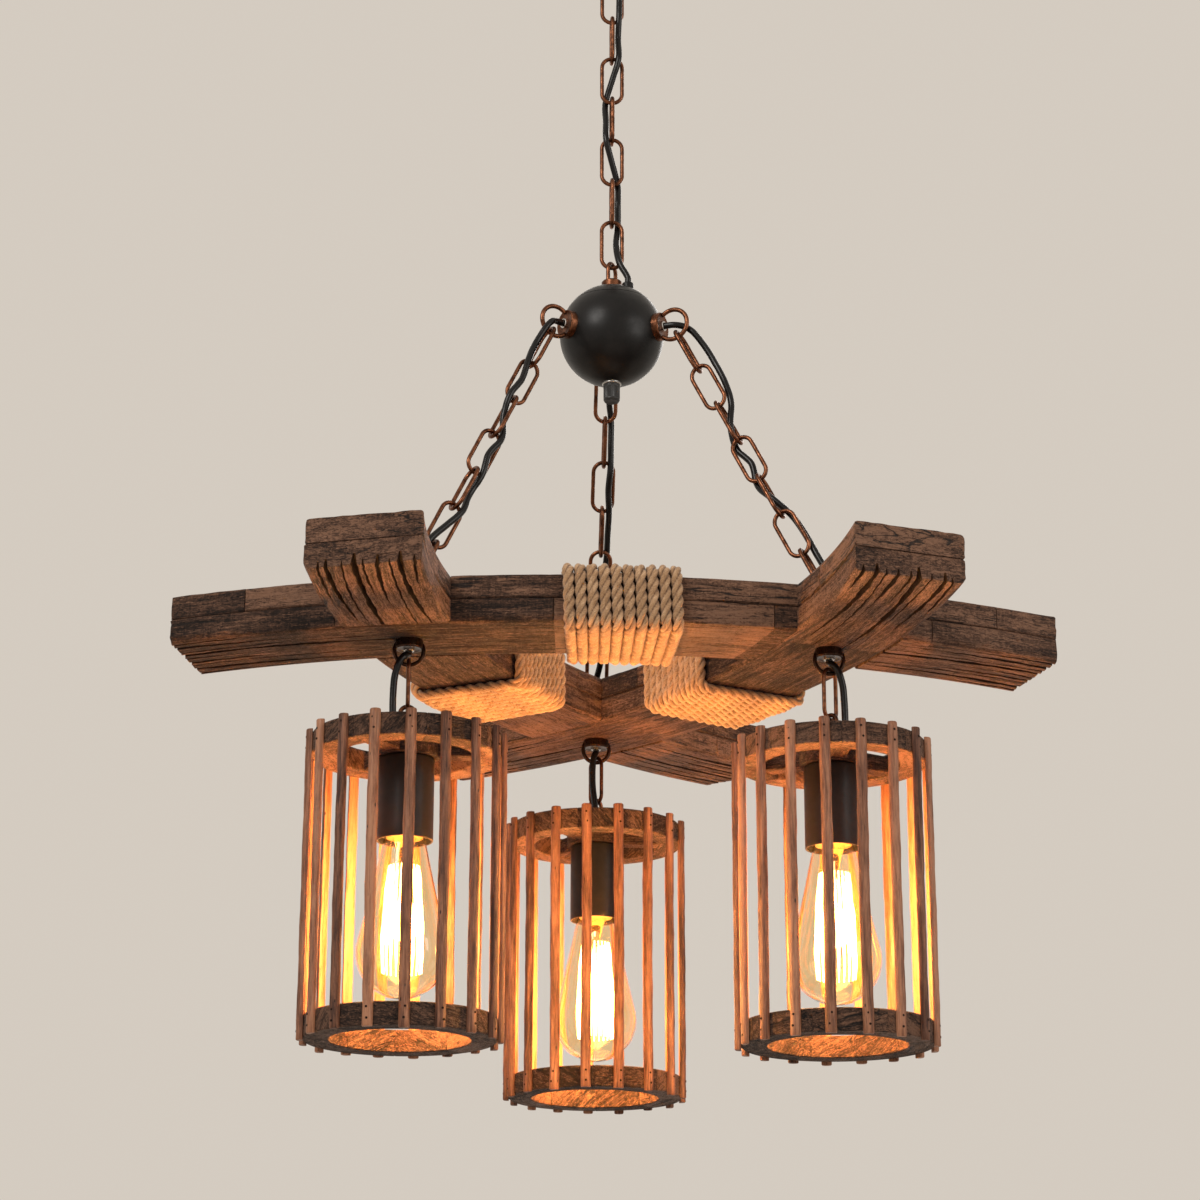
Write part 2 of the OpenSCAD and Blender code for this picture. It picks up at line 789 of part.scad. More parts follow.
// Envelope of the bulb glass: a sphere and the cone that runs from it to the neck
module glass_body(inset) {
    r = bulb_r - inset;
    neck = neck_r - inset;
    rise = glass_top - bulb_centre;
    away = sqrt(neck * neck + rise * rise);
    touch = atan(neck / rise) + acos(r / away);
    translate([0, 0, bulb_centre]) {
        sphere(r = r, $fn = 96);
        translate([0, 0, r * cos(touch)])
            cylinder(r1 = r * sin(touch), r2 = neck, h = rise - r * cos(touch), $fn = 96);
    }
}

module bulb(k) {
    at_corner(k) {
        color(GLASS)
        difference() {
            glass_body(0);
            glass_body(glass_t);
        }
        color(BRIGHT_METAL) translate([0, 0, glass_top]) cylinder(d = cap_d, h = cap_len);
        color(GLASS) translate([0, 0, glass_top - 40]) cylinder(d1 = 5, d2 = 12, h = 40);
    }
}

ceiling_bracket();
canopy_rod();
canopy_nut();
canopy();
canopy_loop();
main_link(1);  // main_link_1
main_link(2);  // main_link_2
main_link(3);  // main_link_3
main_link(4);  // main_link_4
main_link(5);  // main_link_5
main_link(6);  // main_link_6
main_link(7);  // main_link_7
main_link(8);  // main_link_8
main_link(9);  // main_link_9
main_cable();
ball_rod();
ball_top_eye();
ball_shell();
ball_lid();
ball_side_rings();
ball_washer();
ball_ferrule();
side_chain(LEFT);  // chain_left
side_chain(RIGHT);  // chain_right
side_chain(BACK);  // chain_back
bridle_cable(LEFT);  // bridle_cable_left
bridle_cable(RIGHT);  // bridle_cable_right
bridle_cable(BACK);  // bridle_cable_back
beam_eyes();
beam(0, [false, true]);  // beam_front
beam(1, [false, false]);  // beam_right
beam(2, [true, true]);  // beam_left
rope(0);  // rope_front
rope(1);  // rope_right
rope(2);  // rope_left
hanger_loops();
hanger_link(LEFT);  // hanger_link_left
hanger_link(RIGHT);  // hanger_link_right
hanger_link(BACK);  // hanger_link_back
lantern_cable(LEFT);  // lantern_cable_left
lantern_cable(RIGHT);  // lantern_cable_right
lantern_cable(BACK);  // lantern_cable_back
top_wheel(LEFT);  // top_wheel_left
bottom_ring(LEFT);  // bottom_ring_left
slats(LEFT);  // slats_left
top_loop(LEFT);  // top_loop_left
socket(LEFT);  // socket_left
bulb(LEFT);  // bulb_left
top_wheel(RIGHT);  // top_wheel_right
bottom_ring(RIGHT);  // bottom_ring_right
slats(RIGHT);  // slats_right
top_loop(RIGHT);  // top_loop_right
socket(RIGHT);  // socket_right
bulb(RIGHT);  // bulb_right
top_wheel(BACK);  // top_wheel_back
bottom_ring(BACK);  // bottom_ring_back
slats(BACK);  // slats_back
top_loop(BACK);  // top_loop_back
socket(BACK);  // socket_back
bulb(BACK);  // bulb_back
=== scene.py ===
import json
from math import acos, asin, atan, ceil, cos, degrees, exp, hypot, pi, radians, sin, sqrt, tan

import bmesh
import bpy
import numpy as np
from mathutils import Matrix, Vector

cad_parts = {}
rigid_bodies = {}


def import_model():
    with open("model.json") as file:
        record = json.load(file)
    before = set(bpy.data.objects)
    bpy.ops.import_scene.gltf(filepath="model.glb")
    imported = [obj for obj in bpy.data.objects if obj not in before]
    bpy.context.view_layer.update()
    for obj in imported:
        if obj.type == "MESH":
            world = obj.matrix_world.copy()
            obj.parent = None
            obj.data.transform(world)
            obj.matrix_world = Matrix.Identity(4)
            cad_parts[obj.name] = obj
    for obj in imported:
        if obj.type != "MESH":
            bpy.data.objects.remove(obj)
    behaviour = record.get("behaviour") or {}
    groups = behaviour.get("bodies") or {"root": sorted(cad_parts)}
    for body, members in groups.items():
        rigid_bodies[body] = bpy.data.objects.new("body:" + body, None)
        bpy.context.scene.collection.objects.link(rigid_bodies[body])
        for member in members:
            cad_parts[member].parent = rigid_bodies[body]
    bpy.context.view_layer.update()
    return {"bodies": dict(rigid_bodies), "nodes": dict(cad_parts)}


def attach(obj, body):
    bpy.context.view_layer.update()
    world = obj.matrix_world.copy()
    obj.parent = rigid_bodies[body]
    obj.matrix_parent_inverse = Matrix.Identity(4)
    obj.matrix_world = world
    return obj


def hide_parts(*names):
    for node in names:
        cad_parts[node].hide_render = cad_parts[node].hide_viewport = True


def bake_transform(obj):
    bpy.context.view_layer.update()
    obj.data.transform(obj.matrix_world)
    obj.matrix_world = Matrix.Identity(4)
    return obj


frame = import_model()
nodes = frame["nodes"]
scene = bpy.context.scene
MM = 0.001

# ---------------------------------------------------------------- sizes, in mm
CORNERS = {"left": 210.0, "right": 330.0, "back": 90.0}
CANOPY_R, CANOPY_H = 60.0, 26.0
LOOP_CROWN = -45.0
LINK_LEN, LINK_W, LINK_WIRE, PITCH = 39.4, 19.2, 3.2, 36.0
FIRST_TOP = -41.4
BALL_Z, BALL_R, LID_Z = -426.4, 40.4, 25.97
BALL, BOSS_X = (0, 0, BALL_Z), 44
RING_CENTRE, RING_R, LOOP_WIRE = 52.0, 12.2, 3.6
CORNER_R = 174.851
BEAM_TOP, BEAM_H, BEAM_W, BEAM_RADIUS, ARC_BACK = -669.884, 35.0, 80.0, 700.0, 596.0
BEAM_BOTTOM = BEAM_TOP - BEAM_H
LEAN = degrees(asin(122.851 / 267.6))
CHORD, END_SKEW = 628.0, 12.6
BEAM_TURN = {"front": 0, "right": 120, "left": 240}
END_Y = ARC_BACK - sqrt(BEAM_RADIUS ** 2 - CHORD ** 2 / 4)
CABLE_D, CORD_MIN = 5.0, 30
WHEEL_TOP, WHEEL_UNDER, LANTERN_UNDER, RING_H = -71.3, -87.3, -287.3, 16.0
RING_OUT, RING_IN = 67.0, 49.0
SLATS, SLAT_W, SLAT_T, SLAT_LEN = 17, 7.7, 4.5, 218
SPOKE_HALF, SPOKE_TOP, SOCKET_LEN = 7.0, WHEEL_UNDER + 13, 60
HANGER_Z, HANGER = -14.9, (37.5, 17, 3.0)
BULB_TOP, GLASS_TOP, GLOBE_Z, GLOBE_R, NECK_R, GLOW_Z = -118.3, -145.3, -226.3, 32.0, 14.5, -203
SLAT_START = {"left": 18.1, "right": 3.9, "back": 6.2}
SPOKE_AZ = {"left": 0.0, "right": 30.0, "back": 0.0}
HANGER_TURN = {"left": 0.0, "right": -45.0, "back": 35.0}


def about_z(turn):
    """The matrix of a turn in degrees about the vertical axis."""
    a = radians(turn)
    return np.array([[cos(a), -sin(a), 0], [sin(a), cos(a), 0], [0, 0, 1]])


def turned(points, matrix):
    p = np.asarray(points, float)
    return (p.reshape(-1, 3) @ matrix.T).reshape(p.shape)


def rot(points, turn):
    """Points, or rings of points, turned about the vertical axis."""
    return turned(points, about_z(turn))


def xyz(*axes):
    """Points from their coordinates, where one number serves for all of them."""
    return np.stack(np.broadcast_arrays(*axes), -1)


def corner(side):
    """Where the beams cross, on their underside: the origin of the parts that hang there."""
    a = radians(CORNERS[side])
    return np.array([CORNER_R * cos(a), CORNER_R * sin(a), BEAM_BOTTOM])


# ---------------------------------------------------------------- camera, fitted to the photograph
FOCAL_PX, IMAGE_PX, SENSOR = 2906.8, 1200, 36.0
EYE = (-0.1469, -2.0821, -1.3198)
RIGHT, UP, AHEAD = (0.99775, -0.06694, 0.00217), (-0.02272, -0.30792, 0.95114), (0.06300, 0.94905, 0.30875)
cam_data = bpy.data.cameras.new("camera")
cam_data.sensor_width = SENSOR
cam_data.lens = FOCAL_PX / IMAGE_PX * SENSOR
cam_data.clip_start = 0.05
camera = bpy.data.objects.new("camera", cam_data)
scene.collection.objects.link(camera)
camera.matrix_world = Matrix([(RIGHT[i], UP[i], -AHEAD[i], EYE[i]) for i in range(3)] + [(0, 0, 0, 1)])
scene.camera = camera


# ---------------------------------------------------------------- materials
class Nodes:
    """A material's node tree, with short calls for the nodes used here."""

    def __init__(self, name, **fixed):
        self.material = bpy.data.materials.new(name)
        self.material.use_nodes = True
        self.tree = self.material.node_tree
        self.tree.nodes.clear()
        self.out = self.tree.nodes.new("ShaderNodeOutputMaterial")
        self.bsdf = self.tree.nodes.new("ShaderNodeBsdfPrincipled")
        self.tree.links.new(self.bsdf.outputs[0], self.out.inputs[0])
        for key, value in fixed.items():
            self.bsdf.inputs[key.replace("_", " ")].default_value = value
        self._object = None

    def put(self, node, name, value):
        """Links or sets an input, by its name or its number."""
        if isinstance(value, bpy.types.NodeSocket):
            self.tree.links.new(value, node.inputs[name])
        else:
            node.inputs[name].default_value = value

    def new(self, kind, out=0, props=None, **inputs):
        node = self.tree.nodes.new(kind)
        for k, v in (props or {}).items():
            setattr(node, k, v)
        for k, v in inputs.items():
            self.put(node, k.replace("_", " "), v)
        return node.outputs[out]

    def obj(self):
        if self._object is None:
            self._object = self.new("ShaderNodeTexCoord", "Object")
        return self._object

    def attr(self, name, out):
        return self.new("ShaderNodeAttribute", out, {"attribute_name": name})

    def scaled(self, vector, scale):
        return self.new("ShaderNodeMapping", "Vector", Vector=vector, Scale=scale)

    def noise(self, vector, scale, detail=4.0, rough=0.55, distort=0.0):
        return self.new("ShaderNodeTexNoise", "Fac", Vector=vector, Scale=scale, Detail=detail, Roughness=rough,
                        Distortion=distort)

    def streaks(self, vector, scale, *look):
        """Noise drawn out along the axes of the smaller scales."""
        return self.noise(self.scaled(vector, scale), 1.0, *look)

    def math(self, op, a, b=0.0):
        node = self.tree.nodes.new("ShaderNodeMath")
        node.operation = op
        self.put(node, 0, a)
        self.put(node, 1, b)
        return node.outputs[0]

    def weigh(self, *terms):
        """The sum of terms, each (value, weight) or (value, weight, what is taken off the value first)."""
        total = None
        for value, weight, *middle in terms:
            for m in middle:
                value = self.math("SUBTRACT", value, m)
            value = self.math("MULTIPLY", value, weight)
            total = value if total is None else self.math("ADD", total, value)
        return total

    def ramp(self, fac, stops):
        node = self.tree.nodes.new("ShaderNodeValToRGB")
        els = node.color_ramp.elements
        while len(els) < len(stops):
            els.new(0.5)
        for e, (at, col) in zip(els, stops):
            e.position = at
            e.color = (*col, 1.0) if isinstance(col, tuple) else (col, col, col, 1.0)
        self.tree.links.new(fac, node.inputs[0])
        return node.outputs[0]

    def veins(self, noise, stops):
        """Lines along the middle level of a noise, drawn by a ramp of the distance from it."""
        return self.ramp(self.math("ABSOLUTE", self.math("SUBTRACT", noise, 0.5)), stops)

    def mix(self, fac, a, b, mode="MIX"):
        node = self.tree.nodes.new("ShaderNodeMix")
        node.data_type = "RGBA"
        node.blend_type = mode
        for i, v in ((0, fac), (6, a), (7, b)):
            self.put(node, i, (*v, 1.0) if isinstance(v, tuple) else v)
        return node.outputs[2]

    def bump(self, height, strength, distance):
        return self.new("ShaderNodeBump", Strength=strength, Distance=distance, Height=height)

    def surface(self, fac, colours, rough, bump=None):
        """Colour and roughness that follow fac, and bump as (height, strength, distance)."""
        self.set(Base_Color=self.ramp(fac, colours), Roughness=self.ramp(fac, rough))
        if bump:
            self.set(Normal=self.bump(*bump))
        return self.material

    def set(self, **links):
        for k, v in links.items():
            self.put(self.bsdf, k.replace("_", " "), v)


def metal(name, dark, light, rough, grain=900.0, bump=0.15, metallic=1.0, blotch=140.0, specular=0.5):
    """Worn metal or lacquer: two tones in blotches, a fine uneven surface and rubbed spots."""
    n = Nodes(name, Metallic=metallic, Specular_IOR_Level=specular)
    big = n.noise(n.obj(), blotch, 5.0, 0.6)
    fine = n.noise(n.obj(), grain, 3.0, 0.6)
    both = n.weigh((big, 0.72), (fine, 0.28))
    return n.surface(both, [(0.36, dark), (0.62, light)], [(0.35, rough[1]), (0.65, rough[0])], (fine, bump, 0.0003))


def timber(name, dark, mid, light, bump, saw, rough=(0.55, 0.9), crack_shade=0.9, dots=False):
    """Stained rough-sawn wood. The attribute grain runs along x, and tone changes from board to board."""
    n = Nodes(name, Metallic=0.0, Specular_IOR_Level=0.32)
    g = n.attr("grain", "Vector")
    tone = n.attr("tone", "Fac")
    long = n.streaks(g, (20, 230, 230), 6.0, 0.66, 0.6)
    fibre = n.streaks(g, (55, 1500, 1500), 4.0, 0.6)
    blot = n.streaks(g, (14, 34, 34), 4.0, 0.55)
    cut = n.streaks(g, (900, 60, 60), 3.0, 0.7, 0.4)
    chips = n.streaks(g, (190, 560, 560), 4.0, 0.72, 1.6)
    base = n.weigh((long, 0.5), (fibre, 0.3), (blot, 0.2), (tone, 0.20, 0.5), (chips, 0.75 * saw, 0.5),
                   (cut, 0.16 * saw, 0.5))
    col = n.ramp(base, [(0.38, dark), (0.49, mid), (0.62, light)])
    # short cracks, then the longer and wider shakes, drawn as dark lines: painted shade in them
    crack = n.streaks(g, (22, 340, 340), 2.0, 0.5, 0.5)
    line = n.veins(crack, [(0.0, 1.0), (0.02, 0.0)])
    where = n.ramp(n.streaks(g, (24, 60, 60), 2.0), [(0.46, 0.0), (0.56, 1.0)])
    line = n.math("MULTIPLY", line, where)
    shake = n.streaks(g, (6.5, 105, 105), 3.0, 0.55, 0.35)
    far = n.veins(shake, [(0.0, 1.0), (0.011, 1.0), (0.018, 0.0)])
    far = n.math("MULTIPLY", far, n.ramp(n.streaks(g, (7, 30, 30), 2.0), [(0.50, 0.0), (0.58, 1.0)]))
    line = n.math("MULTIPLY", n.math("MAXIMUM", line, far), crack_shade)
    # painted shade: the cracks and shakes darken the wood's colour
    col = n.mix(line, col, tuple(c * 0.28 for c in dark))
    height = n.weigh((fibre, 0.5), (long, 0.5), (cut, 0.6 * saw), (chips, 2.2 * saw))
    height = n.math("SUBTRACT", height, n.math("MULTIPLY", line, 1.2))
    if dots:
        cell = n.new("ShaderNodeTexVoronoi", "Distance", Vector=n.scaled(g, (60, 170, 170)), Scale=1.0, Randomness=1.0)
        pit = n.ramp(cell, [(0.07, 1.0), (0.11, 0.0)])
        keep = n.ramp(n.streaks(g, (31, 60, 60), 1.0), [(0.52, 0.0), (0.56, 1.0)])
        pit = n.math("MULTIPLY", pit, keep)
        # painted shade: the pits are drawn near black
        col = n.mix(pit, col, (0.008, 0.005, 0.004))
        height = n.math("SUBTRACT", height, pit)
    n.set(Base_Color=col, Roughness=n.ramp(base, [(0.35, rough[1]), (0.65, rough[0])]), Normal=n.bump(height, bump, 0.0006))
    return n.material


def split_dark(name):
    """Painted shade for the inside of a split: near black, with a little noise. The slats' pins are given it too."""
    n = Nodes(name, Metallic=0.0, Specular_IOR_Level=0.2)
    c = n.noise(n.attr("grain", "Vector"), 600.0, 3.0)
    return n.surface(c, [(0.4, (0.006, 0.003, 0.002)), (0.7, (0.03, 0.012, 0.006))], [(0.3, 0.95), (0.7, 0.8)], (c, 0.6, 0.0005))


def jute(name):
    """Rope. The attribute tone is the depth between its strands, which darkens the colour there as painted shade."""
    n = Nodes(name, Metallic=0.0, Specular_IOR_Level=0.25, Sheen_Weight=0.25, Sheen_Roughness=0.5)
    g = n.attr("grain", "Vector")
    fibre = n.streaks(g, (90, 1600, 1600), 5.0, 0.65, 0.5)
    blot = n.streaks(g, (60, 60, 60), 3.0)
    depth = n.attr("tone", "Fac")
    base = n.weigh((fibre, 0.7), (blot, 0.3))
    col = n.ramp(base, [(0.34, (0.17, 0.085, 0.038)), (0.50, (0.40, 0.235, 0.122)), (0.66, (0.64, 0.44, 0.275))])
    # painted shade: the colour darkens towards the creases between the strands
    shade = n.ramp(depth, [(0.0, (0.16, 0.08, 0.035)), (0.5, (1.0, 1.0, 1.0))])
    col = n.mix(1.0, col, shade, "MULTIPLY")
    n.set(Base_Color=col, Roughness=n.ramp(base, [(0.3, 0.95), (0.7, 0.75)]), Normal=n.bump(fibre, 0.8, 0.0005))
    return n.material


def amber_glass(name):
    n = Nodes(name, Metallic=0.0, Transmission_Weight=1.0, IOR=1.45)
    c = n.streaks(n.obj(), (60, 60, 20), 2.0)
    return n.surface(c, [(0.35, (1.0, 0.86, 0.60)), (0.65, (1.0, 0.91, 0.72))], [(0.3, 0.03), (0.7, 0.0)], (c, 0.05, 0.001))


def glowing(name):
    n = Nodes(name, Metallic=0.0, Roughness=0.5, Emission_Strength=60.0)
    c = n.noise(n.obj(), 300.0, 2.0)
    n.set(Base_Color=n.ramp(c, [(0.3, (0.9, 0.5, 0.2)), (0.7, (1.0, 0.6, 0.3))]),
          Emission_Color=n.ramp(c, [(0.3, (1.0, 0.52, 0.15)), (0.7, (1.0, 0.64, 0.24))]))
    return n.material


# dark and light tone, roughness where rubbed and where dull, grain, bump, metallic, blotch, specular
METALS = {
    "bright_steel": ((0.42, 0.41, 0.40), (0.62, 0.61, 0.59), (0.22, 0.4)),
    "canopy_black": ((0.004, 0.004, 0.004), (0.010, 0.009, 0.009), (0.34, 0.46), 1400, 0.12, 0.0),
    "ball_black": ((0.003, 0.003, 0.003), (0.008, 0.007, 0.007), (0.30, 0.40), 1600, 0.10, 0.0, 140, 0.25),
    "antique_copper": ((0.045, 0.018, 0.010), (0.24, 0.095, 0.048), (0.24, 0.46), 700, 0.35, 1.0, 160),
    "dark_bronze": ((0.020, 0.012, 0.008), (0.085, 0.042, 0.026), (0.2, 0.38), 700, 0.25, 1.0, 160),
    "ferrule_black": ((0.010, 0.010, 0.010), (0.020, 0.019, 0.018), (0.38, 0.5), 1800, 0.2, 0.0),
    "cable_black": ((0.002, 0.002, 0.002), (0.006, 0.005, 0.005), (0.20, 0.30), 1500, 0.10, 0.0, 140, 0.3),
    "socket_black": ((0.004, 0.0035, 0.003), (0.010, 0.008, 0.007), (0.36, 0.46), 1500, 0.08, 0.0, 140, 0.25),
    "eyelet_steel": ((0.50, 0.48, 0.46), (0.72, 0.70, 0.68), (0.14, 0.24)),
    "cap_brass": ((0.45, 0.34, 0.16), (0.66, 0.52, 0.28), (0.25, 0.4)),
}
# dark, middle and light tone, bump, saw marks, roughness, the strength of the cracks' painted shade and whether it has
# dots
TIMBERS = {
    "beam_timber": ((0.012, 0.006, 0.004), (0.070, 0.032, 0.018), (0.20, 0.100, 0.058), 1.0, 0.9),
    "ring_timber": ((0.012, 0.006, 0.004), (0.055, 0.026, 0.015), (0.16, 0.078, 0.045), 1.0, 1.0),
    "slat_timber": ((0.042, 0.016, 0.009), (0.175, 0.070, 0.036), (0.37, 0.170, 0.092), 0.5, 0.14, (0.42, 0.66), 0.3, True),
}
M = {name: metal(name, *look) for name, look in METALS.items()}
M.update({name: timber(name, *look) for name, look in TIMBERS.items()})
for name, kind in (("split_dark", split_dark), ("jute_rope", jute), ("bulb_glass", amber_glass), ("filament", glowing)):
    M[name] = kind(name)


# ---------------------------------------------------------------- mesh building, in mm
class Build:
    """Collects the rings of several solids, and makes one mesh object from them."""

    def __init__(self):
        # points, faces, grain, tone, and the faces' material numbers
        self.v, self.f, self.g, self.t, self.m = [], [], [], [], []
        self.count = 0

    def grid(self, rows, grain=None, tone=0.5, material=0, closed=False, caps=True):
        """rows is (n, m, 3): n rings of m points, joined one to the next, and the last to the first if closed."""
        rows = np.asarray(rows, float)
        n, m = rows.shape[:2]
        base = self.count
        self.v.append(rows.reshape(-1, 3))
        g = rows if grain is None else np.asarray(grain, float)
        self.g.append(g.reshape(-1, 3))
        t = np.asarray(tone, float)
        if t.ndim == 1:
            t = t[:, None]
        self.t.append(np.broadcast_to(t, (n, m)).reshape(-1))
        i = np.arange(n if closed else n - 1)[:, None]
        j = np.arange(m)[None, :]
        a = base + i * m + j
        b = base + i * m + (j + 1) % m
        c = base + ((i + 1) % n) * m + (j + 1) % m
        d = base + ((i + 1) % n) * m + j
        quads = np.stack([a, b, c, d], -1).reshape(-1, 4)
        self.f.extend(quads.tolist())
        self.m.extend([material] * len(quads))
        if caps and not closed:
            self.f.append(list(range(base + m - 1, base - 1, -1)))
            self.f.append(list(range(base + (n - 1) * m, base + n * m)))
            self.m.extend([material] * 2)
        self.count += n * m
        return self

    def face(self, ring, grain, tone):
        """One flat face, with a grain of its own."""
        m = len(ring)
        self.v.append(ring)
        self.g.append(grain)
        self.t.append(np.full(m, float(tone)))
        self.f.append(list(range(self.count, self.count + m)))
        self.m.append(0)
        self.count += m

    def make(self, name, materials, body=None, replaces=(), slot=None, angle=38):
        """One mesh object from the rings. The argument slot is not used."""
        slot = slot or materials[0]
        v = np.concatenate(self.v) * MM
        me = bpy.data.meshes.new(name)
        me.from_pydata(v.tolist(), [], self.f)
        me.update()
        bm = bmesh.new()
        bm.from_mesh(me)
        bmesh.ops.recalc_face_normals(bm, faces=bm.faces)
        bm.to_mesh(me)
        bm.free()
        grain = me.attributes.new("grain", "FLOAT_VECTOR", "POINT")
        grain.data.foreach_set("vector", (np.concatenate(self.g) * MM).astype(np.float32).reshape(-1))
        tone = me.attributes.new("tone", "FLOAT", "POINT")
        tone.data.foreach_set("value", np.concatenate(self.t).astype(np.float32))
        for mat in materials:
            me.materials.append(M[mat])
        me.polygons.foreach_set("material_index", np.array(self.m, np.int32))
        me.shade_smooth()
        me.set_sharp_from_angle(angle=radians(angle))
        ob = bpy.data.objects.new(name, me)
        scene.collection.objects.link(ob)
        if body:
            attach(ob, body)
        if replaces:
            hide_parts(*replaces)
        return ob


def lathe(profile, sides, centre=(0, 0, 0)):
    """Rings of a turned solid. profile lists (radius, z)."""
    a = np.linspace(0, 2 * pi, sides, endpoint=False)
    p = np.array(profile, float)
    r = np.maximum(p[:, :1], 0.02)
    return xyz(r * np.cos(a), r * np.sin(a), p[:, 1:]) + np.array(centre, float)


def lathe_hollow(b, profile, sides, centre=(0, 0, 0)):
    """Adds a turned part whose profile closes on itself."""
    b.grid(lathe(profile, sides, centre), closed=True)


def raised(profile, by):
    """The profile moved up by that much."""
    return [(r, by + z) for r, z in profile]


def arc(cx, cz, r, a0, a1, n=8):
    """Points (radius, z) of an arc from a0 to a1 degrees."""
    return [(cx + r * cos(radians(a)), cz + r * sin(radians(a))) for a in np.linspace(a0, a1, n)]


def frames(path, closed=False, up=None):
    """Tangents and two sideways directions that turn as little as possible along the path."""
    p = np.asarray(path, float)
    n = len(p)
    if closed:
        t = np.roll(p, -1, 0) - np.roll(p, 1, 0)
    else:
        t = np.gradient(p, axis=0)
    t /= np.linalg.norm(t, axis=1)[:, None]
    a = np.zeros_like(t)
    seed = np.array(up if up is not None else (0.13, 0.71, 0.69))
    x = seed - t[0] * (seed @ t[0])
    a[0] = x / np.linalg.norm(x)
    for i in range(1, n):
        x = a[i - 1] - t[i] * (a[i - 1] @ t[i])
        a[i] = x / np.linalg.norm(x)
    return t, a, np.cross(t, a)


def tube(path, radius, sides=14, closed=False, up=None):
    """Rings of a round wire or cable along a path. radius is one number or one for each point."""
    p = np.asarray(path, float)
    _, a, b = frames(p, closed, up)
    ang = np.linspace(0, 2 * pi, sides, endpoint=False)
    r = np.broadcast_to(np.asarray(radius, float), (len(p),))
    spokes = np.cos(ang)[None, :, None] * a[:, None, :] + np.sin(ang)[None, :, None] * b[:, None, :]
    return p[:, None, :] + r[:, None, None] * spokes


def smooth(points, step):
    """A smooth line through the points, sampled about every step mm."""
    p = np.asarray(points, float)
    ext = np.vstack([2 * p[0] - p[1], p, 2 * p[-1] - p[-2]])
    out = []
    for i in range(1, len(ext) - 2):
        p0, p1, p2, p3 = ext[i - 1:i + 3]
        d = [max(np.linalg.norm(q - s) ** 0.5, 1e-3) for s, q in ((p0, p1), (p1, p2), (p2, p3))]
        m1 = (p2 - p1) + d[1] * ((p1 - p0) / d[0] - (p2 - p0) / (d[0] + d[1]))
        m2 = (p2 - p1) + d[1] * ((p3 - p2) / d[2] - (p3 - p1) / (d[1] + d[2]))
        n = max(2, int(np.linalg.norm(p2 - p1) / step))
        for s in np.arange(n) / n:
            h = (2 * s ** 3 - 3 * s ** 2 + 1, s ** 3 - 2 * s ** 2 + s, -2 * s ** 3 + 3 * s ** 2, s ** 3 - s ** 2)
            out.append(h[0] * p1 + h[1] * m1 + h[2] * p2 + h[3] * m2)
    out.append(p[-1])
    return np.array(out)


def relax(path, rounds, keep=6):
    """Eases the tight spots of a path, with its two ends held."""
    p = np.array(path, float)
    for _ in range(rounds):
        q = p.copy()
        q[1:-1] = 0.25 * p[:-2] + 0.5 * p[1:-1] + 0.25 * p[2:]
        q[:keep], q[-keep:] = p[:keep], p[-keep:]
        p = q
    return p


def length(path):
    """The length of a path, in mm."""
    return float(np.linalg.norm(np.diff(np.asarray(path), axis=0), axis=1).sum())


def resample(path, count):
    """The path with count points, evenly spaced."""
    p = np.asarray(path, float)
    s = np.concatenate([[0], np.cumsum(np.linalg.norm(np.diff(p, axis=0), axis=1))])
    at = np.linspace(0, s[-1], count)
    return np.stack([np.interp(at, s, p[:, k]) for k in range(3)], -1)


# ---------------------------------------------------------------- cables
def cable(name, path, replaced=(), body=None, blend=None):
    """One length of cable: a round tube on the path."""
    path = resample(path, max(15, min(40, int(length(path) / 2.2))) if length(path) < 90 else 40)
    fine = smooth(path, 1.5)
    b = Build()
    wave = 1 + 0.006 * np.sin(np.arange(len(fine)) * 0.9)
    b.grid(tube(fine, CABLE_D / 2 * wave, 16, up=(0.2, 0.97, 0.1)))
    ob = b.make(name, ["cable_black"], body, replaced)
    if blend:
        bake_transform(ob)
    if length(fine) < CORD_MIN:
        return ob
    return ob


# links down the chain, and offsets across it
MAIN_ROUTE = [
    (0.55, 9, -5.5), (1, 5.5, -5.5), (1.5, 5, 0), (2, 5.2, -5.2), (2.5, 5.5, -4.8), (3, 5.2, -5.2), (3.5, 4.8, -1), (4, 5, -5),
    (4.5, 0, 0), (5, -5, 5), (5.5, -4.8, 0), (6, -5, -5), (6.5, 0, 0), (7, 5, 5), (7.5, 4.8, 1), (8, 5, 5), (8.5, 3.3, 0),
    (9, 5.8, -5.4)]
main_pts = [(16, -5, -29), (16, -5, -34)] + [(x, y, -43.2 - PITCH * s) for s, x, y in MAIN_ROUTE]
main_pts += [(12, -7, BALL_Z + 47), (12, -7, BALL_Z + 42)]
main_path = relax(smooth(main_pts, 1.0), 10)

# One length for each link, so that the cable turns where the chain does. Neighbours overlap a little at each joint.
OVERLAP = 1.8
joint_z = [LOOP_CROWN + 1.7] + [FIRST_TOP - PITCH * (k - 1) - LINK_LEN + 1.7 for k in range(1, 10)]
tops = [main_path[0][2] + 1] + joint_z
ends = joint_z + [main_path[-1][2] - 1]
bodies = ["ceiling"] + [f"link_{k}" for k in range(1, 10)] + ["frame"]
for k in range(11):
    first = int(np.argmax(main_path[:, 2] <= tops[k] + OVERLAP))
    last = len(main_path) - 1 - int(np.argmax(main_path[::-1, 2] >= ends[k] - OVERLAP))
    cable(f"main_cable_{k}", main_path[first:last + 1], ("main_cable",), bodies[k])

